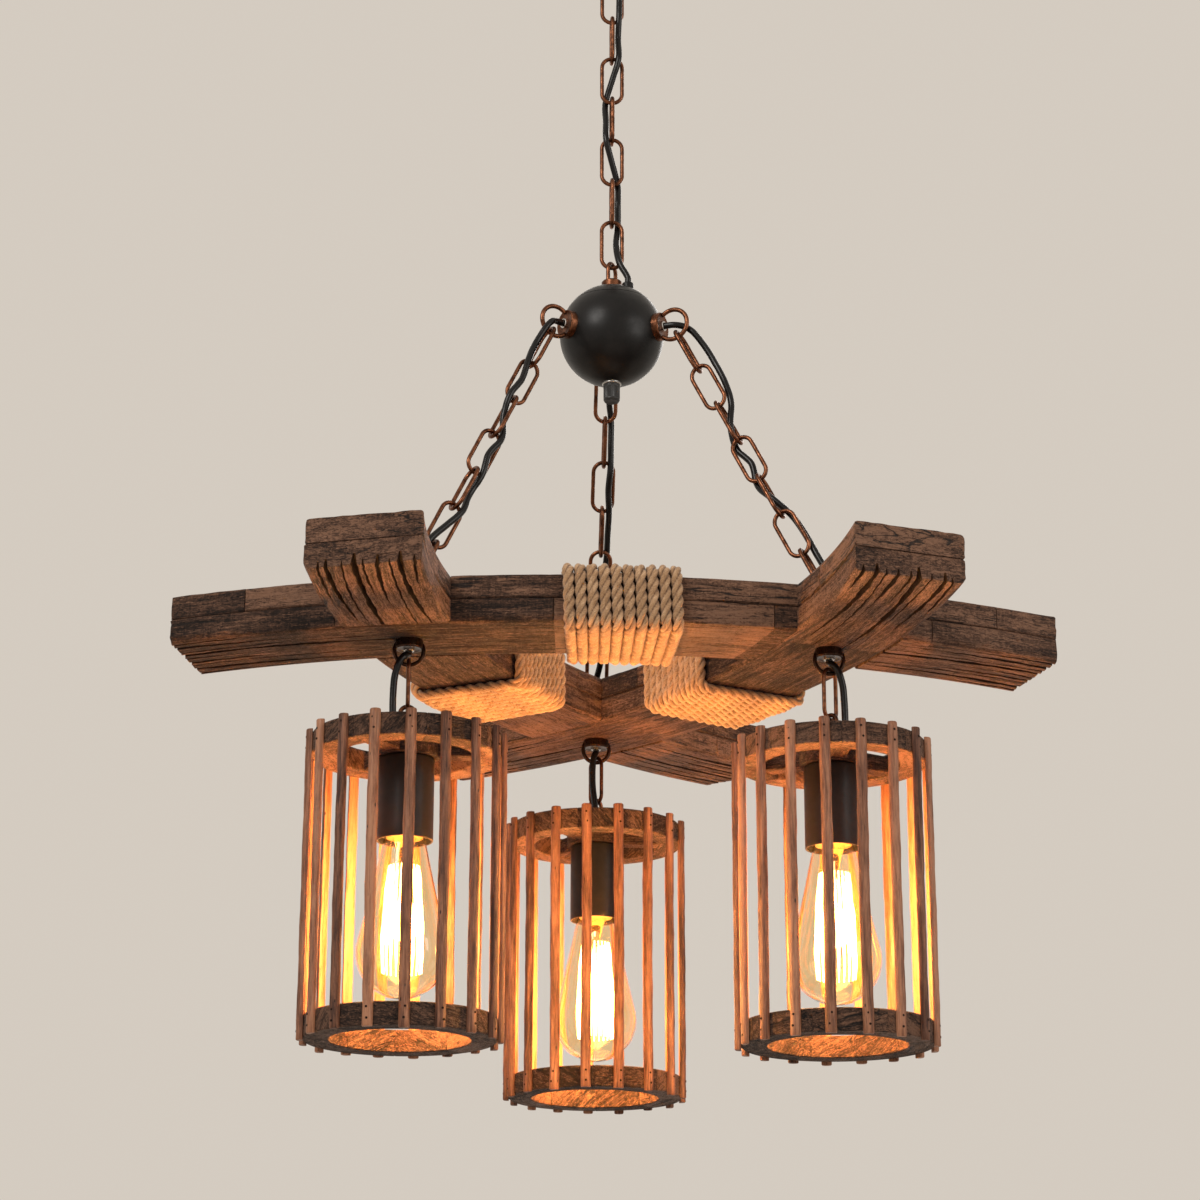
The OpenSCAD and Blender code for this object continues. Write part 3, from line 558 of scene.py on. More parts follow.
# where each side cable leaves the ball: outward, sideways and up from its centre. The routes give the links down the
# chain, the offset square to it and the offset sideways.
SIDE_START = {"left": (60, 5.4, -4.5), "right": (62, 5, -2.5), "back": (60, -5.2, -4)}
SIDE_ROUTE = {
    "left": [(0.5, 6.2, 2), (1, 6, 4.9), (1.5, 3, 5), (2, 5.6, 5), (2.5, 0, 1.2), (3, -5.6, 4.9), (3.5, -2, 5), (4, -5.6, 4.9),
             (4.5, -5.4, 1), (5, -5.6, 4.9), (5.5, 0, 4.9), (6, 5.8, 5), (6.5, 7.5, 3)],
    "right": [(0.6, 13, 2.5), (1.05, 13.4, 1.5), (1.5, 12.8, 2.5), (2, 8.5, 5.2), (2.5, 0, 1.5), (3, -5.6, 4.9), (3.5, -1, 4.9),
              (4, -5.6, 4.9), (4.5, 0, 1.2), (5, 5.6, 4.9), (5.5, 7.5, 4.9), (6, 7.5, 5), (6.5, 8.5, 3)],
    "back": [(0.5, 5.8, -3), (1, 5.6, -5.2), (1.5, 0, -5.2), (2, -5.4, -5.2), (2.5, -5.4, -4), (3, -5.4, -5.2), (3.5, 0, -5),
             (4, 5.4, -5.2), (4.5, 5.4, -4), (5, 5.4, -5.2), (5.5, 2, -5), (6, 6, -5.2), (6.5, 7.8, -3)],
}
sl, cl = sin(radians(LEAN)), cos(radians(LEAN))
for side, az in CORNERS.items():
    pts = [(45.5, 0, BALL_Z), (50.5, 0, BALL_Z), (SIDE_START[side][0], SIDE_START[side][1], BALL_Z + SIDE_START[side][2])]
    for s, nrm, bb in SIDE_ROUTE[side]:
        down = RING_R + s * PITCH
        pts.append((RING_CENTRE + down * sl + nrm * cl, bb, BALL_Z - down * cl + nrm * sl))
    r = CORNER_R + 13
    pts += [(r - 2, 0, BEAM_TOP + 15), (r, 0, BEAM_TOP + 5), (r, 0, BEAM_TOP)]
    cable(f"bridle_cable_{side}_run", relax(smooth(rot(pts, az), 1.0), 8), (f"bridle_cable_{side}",), "frame")

# from the corner's underside, after the straight start and before the last 5 mm, which go straight down
LANTERN_ROUTE = {
    "left": [(-2, -4.6, -11.6), (-6, -6.2, -16.5), (-9.5, -4.8, -27), (-10.5, -4, -40), (-10.5, -4, -55), (-10, -4, -66.3)],
    "right": [(1.2, -3.8, -11.5), (5, -5.6, -16.5), (8.5, -5, -27), (9.6, -4.5, -40), (10, -4, -55), (10, -4, -66.3)],
    "back": [(-0.8, -4.2, -11.5), (-2.5, -6.4, -16.5), (-3.2, -7, -27), (-3, -7.5, -40), (-1.5, -9.5, -55), (-1, -10.4, -66.3)],
}
for side in CORNERS:
    o = corner(side)
    route = [(0, 0, -8), (0, 0, -9.5)] + LANTERN_ROUTE[side]
    route.append(route[-1][:2] + (WHEEL_TOP,))
    path = relax(smooth([o + np.array(p) for p in route], 1.0), 4)
    mid = int(np.argmin(np.abs(path[:, 2] - (o[2] - 38))))
    cable(f"lantern_cable_{side}_upper", path[:mid + 1], (f"lantern_cable_{side}",), None,
          ("frame", f"hanger_{side}", o + (0, 0, -11), o + (0, 0, -30)))
    cable(f"lantern_cable_{side}_lower", path[mid:], (f"lantern_cable_{side}",), None,
          (f"hanger_{side}", f"lantern_{side}", o + (0, 0, -44), o + (0, 0, -62)))


# ---------------------------------------------------------------- chain links and wire loops
def link_path(ln, width, wire, n=20, straight=8):
    """Centre line of a link in the XZ plane, hanging from the centre of its top bend's wire."""
    r = (width - wire) / 2
    leg = [s * (ln - 2 * r) for s in np.linspace(0, 1, straight, endpoint=False)]
    pts = [(r * cos(a), 0, -r + r * sin(a)) for a in np.linspace(0, pi, n, endpoint=False)]
    pts += [(-r, 0, -r - z) for z in leg]
    pts += [(r * cos(a), 0, r - ln + r * sin(a)) for a in np.linspace(pi, 2 * pi, n, endpoint=False)]
    return np.array(pts + [(r, 0, r - ln + z) for z in leg])


def link_rows(ln, width, wire):
    """The link's rings of points: round wire, and a butt seam in one leg with the wire a little thicker beside it."""
    p = link_path(ln, width, wire)
    legs = np.where(p[:, 0] > 0, np.abs(p[:, 2] + ln / 2), 99.0)
    seam = np.abs(legs - legs.min()) < 0.01
    r = wire / 2 * (1 + 0.045 * np.exp(-(legs / 2.0) ** 2))
    r = r * (1 + 0.006 * np.sin(np.arange(len(p)) * 2.1))
    r[seam] *= 0.9
    return tube(p, r, 14, closed=True, up=(0, 1, 0))


def add_link(b, where, turn, ln=LINK_LEN, width=LINK_W, wire=LINK_WIRE, tilt=None):
    rows = rot(link_rows(ln, width, wire), turn)
    if tilt is not None:
        rows = turned(rows, tilt)
    b.grid(rows + np.array(where), closed=True)


for k in range(1, 10):
    b = Build()
    add_link(b, (0, 0, FIRST_TOP - PITCH * (k - 1)), 90 * ((k + 1) % 2))
    b.make(f"chain_link_{k}", ["antique_copper"], f"link_{k}", (f"main_link_{k}",))

for side, az in CORNERS.items():
    b = Build()
    lean = radians(-LEAN)
    ry = np.array([[cos(lean), 0, sin(lean)], [0, 1, 0], [-sin(lean), 0, cos(lean)]])
    rz = about_z(az)
    for i in range(1, 8):
        top = np.array([0, 0, (LOOP_WIRE + LINK_WIRE) / 2 + 0.2 - (i - 1) * PITCH])
        base = rz @ (np.array([RING_CENTRE + RING_R * sl, 0, BALL_Z - RING_R * cl]) + ry @ top)
        add_link(b, base, 90 * (i % 2), tilt=rz @ ry)
    b.make(f"side_chain_{side}", ["antique_copper"], "frame", (f"chain_{side}",))


def staple_rows(r, leg, wire, foot=1.5, sides=14):
    """An upright U of wire with its feet at z = 0, let into what carries it by foot."""
    pts = [(r, 0, z) for z in np.linspace(-foot, leg, 5, endpoint=False)]
    pts += [(r * cos(a), 0, leg + r * sin(a)) for a in np.linspace(0, pi, 22)]
    pts += [(-r, 0, z) for z in np.linspace(leg, -foot, 6)[1:]]
    return tube(np.array(pts), wire / 2, sides, up=(0, 1, 0))


def place(rows, turn=0.0, flip=False, at=(0, 0, 0)):
    """Rings turned over if flip, turned about the vertical axis and moved to at."""
    p = np.array(rows, float)
    if flip:
        p = p * np.array([1, -1, -1])
    return rot(p, turn) + np.array(at, float)


def hoop_rows(r, wire, gap, n=44, sides=14):
    """A ring of wire in the XZ plane, open on its upper side over gap degrees."""
    a = np.radians(np.linspace(90 + gap / 2, 450 - gap / 2, n))
    return tube(xyz(r * np.cos(a), 0, r * np.sin(a)), wire / 2, sides, up=(0, 1, 0))


def disc_profile(r, z0, z1, ease=0.7):
    """Profile of a turned disc from z0 up to z1, with eased rims."""
    lower = [(0.02, z0), (r * 0.5, z0), (r - ease, z0)] + arc(r - ease, z0 + ease, ease, -90, 0, 4)
    return lower + arc(r - ease, z1 - ease, ease, 0, 90, 4) + [(r - ease, z1), (r * 0.5, z1), (0.02, z1)]


# canopy, its bush and the loop under it
b = Build()
w, rr = 1.5, 8.0
prof = [(CANOPY_R - w, 0.0), (CANOPY_R - 0.4, 0.0), (CANOPY_R, -0.4)] + [(CANOPY_R, -z) for z in (4, 9, 14)]
prof += arc(CANOPY_R - rr, -CANOPY_H + rr, rr, 0, -90, 12)
prof += [(r, -CANOPY_H) for r in (40, 24, 12, 5.4)] + [(r, -CANOPY_H + w) for r in (5.2, 24, CANOPY_R - rr)]
prof += arc(CANOPY_R - rr, -CANOPY_H + rr, rr - w, -90, 0, 8)
lathe_hollow(b, prof, 128)
prof = [(2.6, -29), (3.6, -29), (4.2, -28.6), (4.5, -27.6), (4.5, -26.4), (5.6, -26.2), (5.6, -25.9), (2.6, -25.9)]
lathe_hollow(b, prof, 32, (16, -5, 0))
b.make("canopy_cup", ["canopy_black"], "ceiling", ("canopy",), angle=30)

b = Build()
b.grid(lathe(disc_profile(11, -32, -26, 0.9), 48))
lathe_hollow(b, [(5.2, -33.2), (7.6, -33.2), (8.2, -32.6), (8.2, -31.9), (5.2, -31.9)], 6)
b.grid(place(staple_rows(8, 5, 3.6), 90, True, (0, 0, -32)))
b.make("canopy_hook", ["antique_copper"], "ceiling", ("canopy_loop",))

# ball: shell, lid, side rings, washer and ferrule
b = Build()
seam_a = degrees(asin(LID_Z / BALL_R))
out = arc(0, 0, BALL_R, -82.6, seam_a - 0.5, 60)
seam_r = BALL_R * cos(radians(seam_a))
lip = [(seam_r - 0.25, LID_Z - 0.1), (seam_r - 1.9, LID_Z - 0.1)]
inn = arc(0, 0, BALL_R - 2, seam_a - 3, -82.2, 30)
lathe_hollow(b, out + lip + inn, 128, BALL)
b.make("ball_lower", ["ball_black"], "frame", ("ball_shell",), angle=30)
b = Build()
out = [(seam_r - 1.8, LID_Z + 0.25), (seam_r - 0.3, LID_Z + 0.25)]
out += arc(0, 0, BALL_R, seam_a + 0.7, 78, 30) + [(8.2, BALL_R - 0.7)]
inn = arc(0, 0, BALL_R - 2, 77.5, seam_a + 1.5, 16)
lathe_hollow(b, out + inn, 128, BALL)
lathe_hollow(b, [(2.6, 42), (3.7, 42), (4.3, 41.6), (4.5, 40.8), (4.5, 36.4), (2.6, 36.4)], 32, (12, -7, BALL_Z))
b.make("ball_upper", ["ball_black"], "frame", ("ball_lid",), angle=30)

b = Build()
b.grid(lathe([(0.02, 39.5), (8, 39.5), (8, 45.0), (7.2, 46.0), (5.8, 46.2), (0.02, 46.2)], 40, BALL))
b.grid(place(staple_rows(6.6, 8.4, 3.2), 60, False, (0, 0, BALL_Z + 46)))
b.make("ball_eye", ["antique_copper"], "frame", ("ball_top_eye",))

def outward(rows):
    """Turned rings laid on the radial axis, with their own axis pointing outward from the ball's socket for a ring."""
    return xyz(rows[..., 2] + BOSS_X, rows[..., 1], -rows[..., 0])


b = Build()
boss = [(0.02, -7.6), (11, -7.6), (11, -1.0)] + arc(10.0, -1.0, 1.0, 0, 90, 5)
boss = outward(lathe(boss + [(9.4, 0), (8.6, -0.35), (4.2, -0.35), (0.02, -0.35)], 48))
eyelet = outward(lathe([(2.55, -0.4), (4.0, -0.4), (4.0, 1.0), (3.6, 1.5), (3.0, 1.5), (2.55, 1.0)], 32))
a = np.radians(np.linspace(180 + 47, 540 - 47, 48))
ring = tube(xyz(RING_CENTRE + RING_R * np.cos(a), 0, RING_R * np.sin(a)), LOOP_WIRE / 2, 16, up=(0, 1, 0))
for az in CORNERS.values():
    b.grid(place(boss, az, at=BALL))
    b.grid(place(eyelet, az, at=BALL), material=1, closed=True)
    b.grid(place(ring, az, at=BALL))
b.make("ball_ring_set", ["antique_copper", "eyelet_steel"], "frame", ("ball_side_rings",))

b = Build()
lathe_hollow(b, [(5.2, -41.2), (6.9, -41.2), (7.5, -40.7), (7.5, -39.4), (6.9, -38.6), (5.2, -39.0)], 48, BALL)
b.make("ball_washer_ring", ["bright_steel"], "frame", ("ball_washer",), angle=25)

b = Build()
fz = BALL_Z - BALL_R - 0.8 - 14
prof = [(0.02, 0.4), (3.5, 0), (5.4, 0), (6.0, 0.9), (6.35, 1.6), (6.35, 2.4), (6.2, 2.6), (6.2, 11.2), (6.35, 11.5),
        (6.4, 12.6), (6.4, 14), (0.02, 14)]
rows = lathe(prof, 144)
flute = 1 + 0.026 * np.clip(np.cos(np.arange(144) / 144 * 2 * pi * 36) * 1.6, -1, 1)
rows[6:9, :, :2] *= flute[None, :, None]
b.grid(rows + np.array([0, 0, fz]))
b.make("ball_ferrule_knurled", ["ferrule_black"], "frame", ("ball_ferrule",), angle=25)

# eyes on the beams
b = Build()
for side, az in CORNERS.items():
    b.grid(place(place(staple_rows(7, 5.75, 3.2), 0, False, (CORNER_R, 0, BEAM_TOP)), az))
b.make("beam_eye_set", ["antique_copper"], "frame", ("beam_eyes",))

# bosses and hoops under the beams
b = Build()
boss = [(0.02, 0.5), (10, 0.5), (10, -5.4)] + arc(9.0, -5.5, 1.0, 0, -90, 5)
boss += [(8.4, -6.5), (7.6, -6.1), (4.2, -6.1), (0.02, -6.1)]
eyelet = [(2.55, -6.0), (4.0, -6.0), (4.0, -7.5), (3.6, -8.0), (3.0, -8.0), (2.55, -7.5)]
for side in CORNERS:
    o = corner(side)
    b.grid(lathe(boss, 48, o))
    b.grid(lathe(eyelet, 32, o), material=1, closed=True)
    b.grid(hoop_rows(10.4, 3.2, 104) + (o + (0, 0, -7.8)))
b.make("under_beam_hoops", ["dark_bronze", "eyelet_steel"], "frame", ("hanger_loops",))


# ---------------------------------------------------------------- beams
def beam_point(u, v, w):
    """Beam coordinates to the beam's own frame: along the arc, outward across it, and up from its top."""
    phi = -pi / 2 + u / BEAM_RADIUS
    out = BEAM_RADIUS + v
    return xyz(out * np.cos(phi), ARC_BACK + out * np.sin(phi), BEAM_TOP + w)


def solve(v, test, lo, hi):
    """The place along the arc, for each offset in v, where test(x, y) changes sign."""
    v = np.asarray(v, float)
    lo, hi = lo + 0 * v, hi + 0 * v

    def sign(u):
        p = beam_point(u, v, 0)
        return np.sign(test(p[..., 0], p[..., 1]))

    first = sign(lo)
    for _ in range(40):
        mid = (lo + hi) / 2
        same = sign(mid) == first
        lo, hi = np.where(same, mid, lo), np.where(same, hi, mid)
    return (lo + hi) / 2


def u_end(v):
    """Where the arc at offset v meets the beam's slanted end."""
    return solve(v, lambda x, y: x - (CHORD / 2 - (y - END_Y) * tan(radians(END_SKEW))), 200, 460)


def u_cross(v, radius):
    """Where the arc at offset v meets the neighbour's edge of that radius, on the right-hand side."""
    c = rot([0, ARC_BACK, 0], 120)
    return solve(v, lambda x, y: np.hypot(x - c[0], y - c[1]) - radius, 0, 330)


def u_in(v):
    return u_cross(v, BEAM_RADIUS - BEAM_W / 2)


def u_out(v):
    return u_cross(v, BEAM_RADIUS + BEAM_W / 2)


def mirrored(edge):
    return lambda v: -edge(v)


u_mid_end = float(u_end(np.array([0.0]))[0])
# drying splits in the underside, from the beam's ends: offset, length, width, depth
SPLITS = [(-26, 150, 3.0, 8.0), (-9, 88, 2.4, 7.0), (7, 205, 3.2, 9.0), (24, 118, 2.6, 8.0)]
FINE_SPLITS = [(-34, 62, 1.6, 5.0), (-17, 190, 1.0, 4.5), (-1, 60, 1.3, 5.0), (15, 165, 1.0, 5.0), (32, 74, 1.6, 5.0)]
ALL_SPLITS = SPLITS + FINE_SPLITS


def outline(*corners):
    """Points from corner to corner. A corner is (v, w, number of steps to the next), and the last is left out."""
    pts = []
    for (v0, w0, n), (v1, w1, _) in zip(corners, corners[1:]):
        pts += [(v0 + s * (v1 - v0), w0 + s * (w1 - w0), -1, 0) for s in np.linspace(0, 1, n, endpoint=False)]
    return pts


def layer_profile(upper):
    """Cross-section of half the beam's height as (v, w, groove index or -1, side of the groove), anticlockwise."""
    if upper:
        return outline((-38.9, -17.3, 6), (38.9, -17.3, 1), (40, -16.3, 5), (40, -2.2, 1), (39.3, -0.7, 1), (37.8, 0, 13),
                       (-37.8, 0, 1), (-39.3, -0.7, 1), (-40, -2.2, 5), (-40, -16.3, 1), (-38.9, -17.3, 0))
    pts = outline((-38.2, -35, 1), (-37.9, -35, 0))
    for v, i in sorted((v, i) for i, (v, *_) in enumerate(ALL_SPLITS)):
        pts += [(v, -35, i, side) for side in (-1.0, -0.35, 0.35, 1.0)]
    return pts + outline((36, -35, 1), (38.5, -33.9, 1), (40, -31, 5), (40, -18.7, 1), (38.9, -17.7, 6),
                         (-38.9, -17.7, 1), (-40, -18.7, 5), (-40, -33, 1), (-39.3, -34.5, 0))


def beam_piece(b, upper, u0, u1, turn, joints, seed, end0, end1):
    """One length of a beam's layer, from u0(v) to u1(v).

    joints are the butt joints, and end0 and end1 say which of its ends is the beam's own."""
    v, w, gi, gs = np.array(layer_profile(upper)).T
    gi = gi.astype(int)
    lo, hi = u0(v), u1(v)
    span0, span1 = float(np.mean(lo)), float(np.mean(hi))
    base = list(np.arange(ceil(span0 / 5) * 5, span1, 5.0))
    for j in joints:
        if span0 + 12 < j < span1 - 12:
            base = [x for x in base if abs(x - j) > 2.0] + [j - 0.45, j, j + 0.45]
    base = sorted(x for x in base if span0 + 2.5 < x < span1 - 2.5)
    base = [span0, span0 + 0.7] + base + [span1 - 0.7, span1]
    local = np.random.RandomState(seed)
    rough = local.normal(0, 0.16, (len(base), len(v)))
    rough[1:-1] = (rough[:-2] + rough[1:-1] + rough[2:]) / 1.9
    slow = np.sin(np.array(base)[:, None] * 0.021 + seed) * 0.35 + np.sin(np.array(base)[:, None] * 0.057 + 2 * seed) * 0.2
    tones = local.uniform(0.1, 0.9, len(joints) + 1)
    rows, grain, tone = [], [], []
    for r, x in enumerate(base):
        # rows lie parallel to the slanted ends near them, and square in between
        k0 = exp(-((x - span0) / 45.0) ** 2)
        k1 = exp(-((x - span1) / 45.0) ** 2)
        u = x + k0 * (lo - span0) + k1 * (hi - span1)
        seg = sum(1 for j in joints if x > j)
        vv, ww = v.copy(), w.copy()
        for i, (sv, sl_, sw, sd) in enumerate(ALL_SPLITS):
            mine = gi == i
            if not mine.any():
                continue
            reach = (sl_ if x > 0 else sl_ * 0.92) + 18 * sin(i * 2.3 + seed)
            near = u_mid_end - abs(x)
            fade = np.clip((reach - near) / (0.55 * reach), 0, 1)
            gap = 0.55 + 0.45 * sin(x * 0.11 + i * 1.7 + seed) * sin(x * 0.037 + i)
            wide = 0.2 + 0.62 * sw * fade ** 1.15 * (0.55 + 0.6 * gap)
            deep = sd * min(1.0, fade * 1.5) * (0.55 + 0.45 * gap) if fade > 0 else 0.0
            wob = 1.3 * sin(x * 0.021 + i * 2.1 + seed) + 0.28 * sin(x * 0.27 + 3 * i)
            wob += 0.22 * sin(x * 0.61 + i * i)
            side = gs[mine]
            vv[mine] = sv + wob + side * wide
            ww[mine] = np.where(np.abs(side) < 0.5, -35 + deep, -35.0)
        keep = gi < 0
        vv = vv + np.where(keep & (np.abs(v) >= 39.9), rough[r] + slow[r], 0)
        ww = ww + np.where(keep & (np.abs(w) < 0.01), rough[r], 0) + np.where((w < -34.5) & (gi >= 0), 0.6 * rough[r], 0)
        for j in joints:
            if abs(x - j) < 0.01:
                vv = np.where(np.abs(v) >= 39.2, vv - np.sign(v) * 1.1, vv)
                ww = np.where((w > -0.2) & upper, ww - 0.6, ww)
        if end0 and r == 0 or end1 and r == len(base) - 1:
            u = u + local.normal(0, 0.25, len(v))
        rows.append(rot(beam_point(u, vv, ww), turn))
        grain.append(xyz(u + 400 * seg + 997 * seed, vv + 31 * seg, ww))
        tone.append(tones[min(seg, len(tones) - 1)])
    rows, grain = np.array(rows), np.array(grain)
    # ends eased by drawing the first and last ring in
    for at, own in ((0, end0), (-1, end1)):
        if own:
            rows[at] = rows[at] + (rows[at].mean(0) - rows[at]) * 0.008
    start = len(b.f)
    b.grid(rows, grain, np.array(tone), 0, caps=False)
    m = len(v)
    for at, own in ((0, end0), (-1, end1)):
        order = list(range(m)) if at else list(range(m))[::-1]
        face_grain = grain[at][:, [1, 2, 0]] + (90.0 * seed, 0, 0) if own else grain[at]
        b.face(rows[at][order], face_grain[order], tone[at])
    # faces deep inside the splits get the second material: painted shade
    deep_cols = {j for j in range(m) if gi[j] >= 0 and gi[(j + 1) % m] == gi[j]}
    for q in range(len(base) - 1):
        near = u_mid_end - abs((base[q] + base[q + 1]) / 2)
        for j in deep_cols:
            if near < ALL_SPLITS[gi[j]][1] * 0.96:
                b.m[start + q * m + j] = 1


UP_JOINTS = {"front": [-262, -118, 22, 150, 268], "right": [-240, -96, 60, 190], "left": [-205, -70, 84, 236]}
LOW_JOINTS = {"front": [-196, -48, 96, 214], "right": [-160, -20, 122, 250], "left": [-258, -120, 12, 168]}
# whether the beam's upper layer runs on through the crossing at its left end, and at its right end
OVER = {"front": (False, True), "right": (False, False), "left": (True, True)}
for n, (name, turn) in enumerate(BEAM_TURN.items()):
    b = Build()
    for upper in (True, False):
        runs_left, runs_right = (over == upper for over in OVER[name])
        joints = UP_JOINTS[name] if upper else LOW_JOINTS[name]
        seed = 3 + 5 * n + (2 if upper else 0)
        a, z = mirrored(u_end if runs_left else u_in), u_end if runs_right else u_in
        beam_piece(b, upper, a, z, turn, joints, seed, runs_left, runs_right)
        if not runs_left:
            beam_piece(b, upper, mirrored(u_end), mirrored(u_out), turn, joints, seed + 31, True, False)
        if not runs_right:
            beam_piece(b, upper, u_out, u_end, turn, joints, seed + 57, False, True)
    b.make(f"timber_{name}", ["beam_timber", "split_dark"], "frame", (f"beam_{name}",), angle=32)


# ---------------------------------------------------------------- rope
def rope_turn(n_bend=9, n_long=9, n_short=4):
    """One turn round the beam from the middle of its top: offsets out and up, and the direction out."""
    bend = 2 + 4.3
    fx, fz = 38.0, 15.5
    pts = []

    def run(x0, z0, x1, z1, nx, nz, n):
        pts.extend((x0 + s * (x1 - x0), z0 + s * (z1 - z0), nx, nz) for s in np.linspace(0, 1, n, endpoint=False))

    for q, (sx, sz) in enumerate(((1, 1), (1, -1), (-1, -1), (-1, 1))):
        level = sz * (fz + bend)
        if q % 2 == 0:
            run(0, level, sx * fx, level, 0, sz, n_long)
        for a in np.radians(np.linspace(90 - 90 * q, -90 * q, n_bend, endpoint=False)):
            pts.append((sx * fx + bend * cos(a), sz * fz + bend * sin(a), cos(a), sin(a)))
        if q % 2 == 0:
            run(sx * (fx + bend), sz * fz, sx * (fx + bend), -sz * fz, sx, 0, n_short)
        else:
            run(sx * fx, level, 0, level, 0, sz, n_long)
    return np.array(pts)


def rope_rows(turn_pts, turns, lay=26.0):
    """The rope's rings, grain and the depth between its three strands, which turn once in lay mm. The depth is used for
    painted shade between the strands.
    """
    m = len(turn_pts)
    idx = np.arange(turns * m + 1)
    nxt = np.roll(turn_pts, -1, 0)
    cum = np.concatenate([[0], np.cumsum(np.hypot(nxt[:, 0] - turn_pts[:, 0], nxt[:, 1] - turn_pts[:, 1]))])
    # s is the length along the rope, which moves 8 mm along the beam in each turn
    s = ((idx // m) * cum[-1] + cum[idx % m])[:, None]
    phi = -pi / 2 + (s / cum[-1] - turns / 2) * 8.0 / BEAM_RADIUS
    ang = np.linspace(0, 2 * pi, 30, endpoint=False)
    twist = s / lay * 2 * pi
    rs, rc = 1.93, 2.07  # radius of a strand, and of the circle that the strands' centres lie on
    local = (ang + twist) % (2 * pi / 3) - pi / 3
    rad = rc * np.cos(local) + np.sqrt(np.maximum(rs ** 2 - (rc * np.sin(local)) ** 2, 0.0))
    strand_shade = (rad - rad.min()) / (rad.max() - rad.min())
    rad = rad * (1 + 0.02 * np.sin(s * 0.31))
    ca, sa = rad * np.cos(ang), 1.07 * rad * np.sin(ang)
    across, height, n_out, n_up = (c[:, None] for c in turn_pts[idx % m].T)
    out = BEAM_RADIUS + across + ca * n_out
    rows = xyz(out * np.cos(phi) - sa * np.sin(phi), ARC_BACK + out * np.sin(phi) + sa * np.cos(phi),
               BEAM_TOP - BEAM_H / 2 + (height + ca * n_up))
    strand = np.floor(((ang + twist) % (2 * pi)) / (2 * pi / 3))
    return rows, xyz(s, (ang + twist * 2.0) * 3.2 + strand * 17, rad), strand_shade


def evened(pts, step=2.2):
    """The turn without repeated points, and with new ones about every step mm."""
    good = [pts[0]]
    for q in pts[1:]:
        if hypot(q[0] - good[-1][0], q[1] - good[-1][1]) > 1e-6:
            good.append(q)
    dense = []
    for p, q in zip(good, good[1:] + good[:1]):
        k = max(1, int(round(hypot(q[0] - p[0], q[1] - p[1]) / step)))
        for s in range(k):
            x, z, nx, nz = p + (q - p) * s / k
            nrm = hypot(nx, nz)
            dense.append((x, z, nx / nrm, nz / nrm))
    return np.array(dense)


turn_pts = evened(rope_turn())
for name, turn in BEAM_TURN.items():
    rows, grain, strand_shade = rope_rows(turn_pts, 10)
    b = Build()
    b.grid(rot(rows, turn), grain, strand_shade)
    b.make(f"rope_wrap_{name}", ["jute_rope"], "frame", (f"rope_{name}",), angle=60)


# ---------------------------------------------------------------- lanterns
def ring_segments(b, o, under, start, seed, parts=8, ease=0.7):
    """A wooden ring glued up from curved segments, each with its own grain."""
    local = np.random.RandomState(seed)
    zs = (ease, 5, 11, RING_H - ease)
    rs = (RING_OUT - ease, 61, 55, RING_IN + ease)
    pr = np.array([(rs[0], 0)] + [(RING_OUT, z) for z in zs] + [(r, RING_H) for r in rs]
                  + [(RING_IN, z) for z in zs[::-1]] + [(rs[3], 0), (55, 0), (61, 0)])
    for s in range(parts):
        a0, a1 = start + s * 360 / parts, start + (s + 1) * 360 / parts
        ang = np.radians(np.concatenate([[a0, a0 + 0.35], np.linspace(a0, a1, 14)[1:-1], [a1 - 0.35, a1]]))
        lean = local.uniform(-0.9, 0.9)
        rows, grain = [], []
        mid = radians((a0 + a1) / 2)
        for i, t in enumerate(ang):
            pull = 0.35 if i in (0, len(ang) - 1) else 0.0
            r = pr[:, 0] + np.where(pr[:, 0] > 58, -pull, pull) + local.normal(0, 0.05, len(pr))
            z = pr[:, 1] + np.where(pr[:, 1] > 8, -pull, pull)
            rows.append(xyz(r * cos(t), r * sin(t), z) + np.array([0, 0, under]) + o)
            # boards run along the segment's chord, seen slightly askew
            lx = r * sin(t - mid)
            ly = r * cos(t - mid)
            along = lx * cos(lean) - z * sin(lean) + 211 * s + 77 * seed
            grain.append(xyz(along, ly, lx * sin(lean) + z * cos(lean)))
        b.grid(rows, grain, local.uniform(0.1, 0.9))


def bar(b, o, az, x0, x1, half, z0, z1, ease, seed):
    """A straight bar along the direction az, with eased edges."""
    ys, zs = (-half + ease, 0, half - ease), (z0 + ease, (z0 + z1) / 2, z1 - ease)
    pr = np.array([(y, z0) for y in ys] + [(half, z) for z in zs] + [(y, z1) for y in ys[::-1]] + [(-half, z) for z in zs[::-1]])
    rows, grain = [], []
    for x in np.linspace(x0, x1, 9):
        rows.append(rot(xyz(x, pr[:, 0], pr[:, 1]), az) + o)
        grain.append(xyz(x + 57 * seed, pr[:, 0] + 13 * seed, pr[:, 1]))
    b.grid(rows, grain, 0.35 + 0.2 * (seed % 3) / 2)


